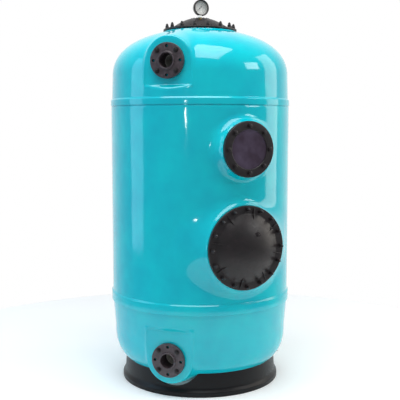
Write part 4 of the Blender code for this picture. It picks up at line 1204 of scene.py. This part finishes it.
finished(smooth(stem), brass, "tank", "brass", "gauge_stem")

# %% Dial and its scale
dial = turned(
    "dial_plate",
    [(0.0, -0.0122), (0.0430, -0.0122, 0.0002), (0.0430, -0.0131), (0.0, -0.0131)],
    96,
)
finished(put(smooth(dial), GAUGE, GAUGE_HEIGHT, GAUGE_OUT), enamel, "tank", "white_enamel", "gauge_dial")
marks = []
for i in range(51):
    major = i % 10 == 0
    half = i % 5 == 0
    length = 0.0065 if major else 0.0048 if half else 0.003
    width = 0.0013 if major else 0.0008 if half else 0.0004
    clear_selection()
    bpy.ops.mesh.primitive_cube_add(size=1.0, location=(0.0, 0.0385 - length / 2.0, -0.0121))
    tick = bpy.context.object
    bpy.ops.transform.resize(value=(width, length, 0.0003))
    bpy.ops.object.transform_apply(location=True, rotation=True, scale=True)
    marks.append(move(tick, spin=135.0 - 5.4 * i))
arc = turned(
    "scale_arc",
    [(0.0388, -0.01200), (0.0388, -0.01215), (0.0383, -0.01215), (0.0383, -0.01200)],
    96,
    ring=True,
)
marks.append(arc)
for i in range(6):
    angle = math.radians(225.0 - 54.0 * i)
    clear_selection()
    bpy.ops.object.text_add(location=(0.0268 * math.cos(angle), 0.0268 * math.sin(angle), -0.01215))
    number = bpy.context.object
    number.data.body = str(i)
    number.data.size = 0.0098
    number.data.extrude = 0.0001
    number.data.align_x = "CENTER"
    number.data.align_y = "CENTER"
    bpy.ops.object.convert(target="MESH")
    bpy.ops.object.transform_apply(location=True, rotation=True, scale=True)
    marks.append(number)
printed = joined("dial_print", marks)
finished(put(printed, GAUGE, GAUGE_HEIGHT, GAUGE_OUT), ink, "tank", "black_plastic")

# %% Needle
boss = turned(
    "needle_boss",
    [(0.0, -0.0083), (0.0040, -0.0083, 0.0008), (0.0040, -0.0119), (0.0, -0.0119)],
    32,
)
clear_selection()
bpy.ops.mesh.primitive_cube_add(size=1.0, location=(0.0, 0.009, -0.0101))
blade = bpy.context.object
bpy.ops.transform.resize(value=(0.0030, 0.046, 0.0008))
bpy.ops.object.transform_apply(location=True, rotation=True, scale=True)
for vertex in blade.data.vertices:
    if vertex.co.y > 0.02:
        vertex.co.x *= 0.28
apply_modifier(blade, "BEVEL", width=0.0002, segments=2, limit_method="ANGLE")
weight = turned(
    "needle_weight",
    [(0.0, -0.0097), (0.0038, -0.0097, 0.0003), (0.0038, -0.0105), (0.0, -0.0105)],
    32,
)
move(weight, (0.0, -0.014, 0.0))
needle = joined("gauge_needle", [boss, blade, weight])
smooth(needle)
put(needle, GAUGE, GAUGE_HEIGHT, GAUGE_OUT, spin=135.0)
finished(needle, ink, "pointer", "black_plastic", "gauge_pointer")

# %% [markdown]
# ## Air bleed valve and drain
# The bleed valve on the lid is a brass screw with a white knob, ribbed for wet fingers. The drain at
# the foot of the tank is a threaded spigot under a winged cap. The knob and the cap each turn, so
# each rides on its own body.

# %% Bleed valve
at = outward(BLEED) * 0.100
bleed = turned(
    "bleed_screw",
    [
        (0.0, 0.0080),
        (0.0080, 0.0080, 0.0008),
        (0.0080, 0.0050),
        (0.0110, 0.0045, 0.001),
        (0.0110, 0.0003),
        (0.0078, 0.0003),
        (0.0078, -0.0230),
        (0.0, -0.0230),
    ],
    32,
)
bleed_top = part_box("air_bleed_body")[1].z
move(smooth(bleed), (at.x, at.y, bleed_top - 0.0080))
finished(bleed, brass, "tank", "brass", "air_bleed_body")
knob = turned(
    "bleed_grip",
    [(0.0, 0.0120), (0.0120, 0.0120, 0.003), (0.0128, 0.0003, 0.001), (0.0, 0.0003)],
    48,
)
grips = []
for i in range(12):
    clear_selection()
    bpy.ops.mesh.primitive_cylinder_add(
        vertices=8,
        radius=0.0014,
        depth=0.0085,
        location=(0.0122, 0.0, 0.0052),
    )
    grip = bpy.context.object
    bpy.ops.object.transform_apply(location=True, rotation=True, scale=True)
    apply_modifier(grip, "BEVEL", width=0.0004, segments=2, limit_method="ANGLE")
    grips.append(move(grip, spin=30.0 * i))
knob = joined("bleed_grip", [knob] + grips)
move(smooth(knob), (at.x, at.y, bleed_top))
finished(knob, enamel, "bleed_knob", "white_enamel", "air_bleed_knob")

# %% Drain spigot and winged cap
drain_turn = Matrix.Rotation(math.radians(DRAIN), 4, "Z") @ Matrix.Rotation(math.radians(135.0), 4, "X")
drain_place = outward(DRAIN) * 0.478 + Vector((0.0, 0.0, 0.147761))


def put_drain(obj):
    obj.matrix_world = Matrix.Translation(drain_place) @ drain_turn
    only(obj)
    bpy.ops.object.transform_apply(location=True, rotation=True, scale=True)
    return obj


spigot = turned(
    "drain_tail",
    [
        (0.006, 0.022),
        (0.0105, 0.022, 0.001),
        (0.0105, 0.011),
        (0.016, 0.011, 0.001),
        (0.016, 0.004, 0.001),
        (0.0105, 0.004),
        (0.0105, -0.030),
        (0.006, -0.030),
    ],
    48,
    ring=True,
)
finished(put_drain(smooth(spigot)), black, "tank", "black_plastic", "drain_spigot")
cap = turned(
    "drain_knob",
    [
        (0.0, 0.0253),
        (0.0145, 0.0253, 0.002),
        (0.0145, 0.0113, 0.001),
        (0.0108, 0.0113),
        (0.0108, 0.0223),
        (0.0, 0.0223),
    ],
    48,
)
clear_selection()
bpy.ops.mesh.primitive_cube_add(size=1.0, location=(0.0, 0.0, 0.0300))
wing = bpy.context.object
bpy.ops.transform.resize(value=(0.030, 0.006, 0.0106))
bpy.ops.object.transform_apply(location=True, rotation=True, scale=True)
for vertex in wing.data.vertices:
    if vertex.co.z > 0.03:
        vertex.co.x *= 0.86
apply_modifier(wing, "BEVEL", width=0.0018, segments=3, limit_method="ANGLE")
cap = joined("drain_knob", [cap, wing])
finished(put_drain(smooth(cap)), black, "drain_cap", "black_plastic", "drain_cap")

# %% [markdown]
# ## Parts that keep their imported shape
# The pipes inside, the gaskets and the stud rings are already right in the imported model, so they only
# take their finishes.

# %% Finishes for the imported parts
kept = {
    pipe: ["inlet_pipe", "inlet_bend", "inlet_diffuser", "outlet_pipe", "collector_hub"]
    + [f"lateral_{i}" for i in range(1, 8)],
    rubber: ["top_lid_gasket", "manway_gasket", "sight_gasket"],
    steel: ["top_lid_stud_ring", "manway_stud_ring"],
}
for material, names in kept.items():
    for name in names:
        nodes[name].data.materials.clear()
        nodes[name].data.materials.append(material)
print(sum(len(names) for names in kept.values()), "packed parts finished")
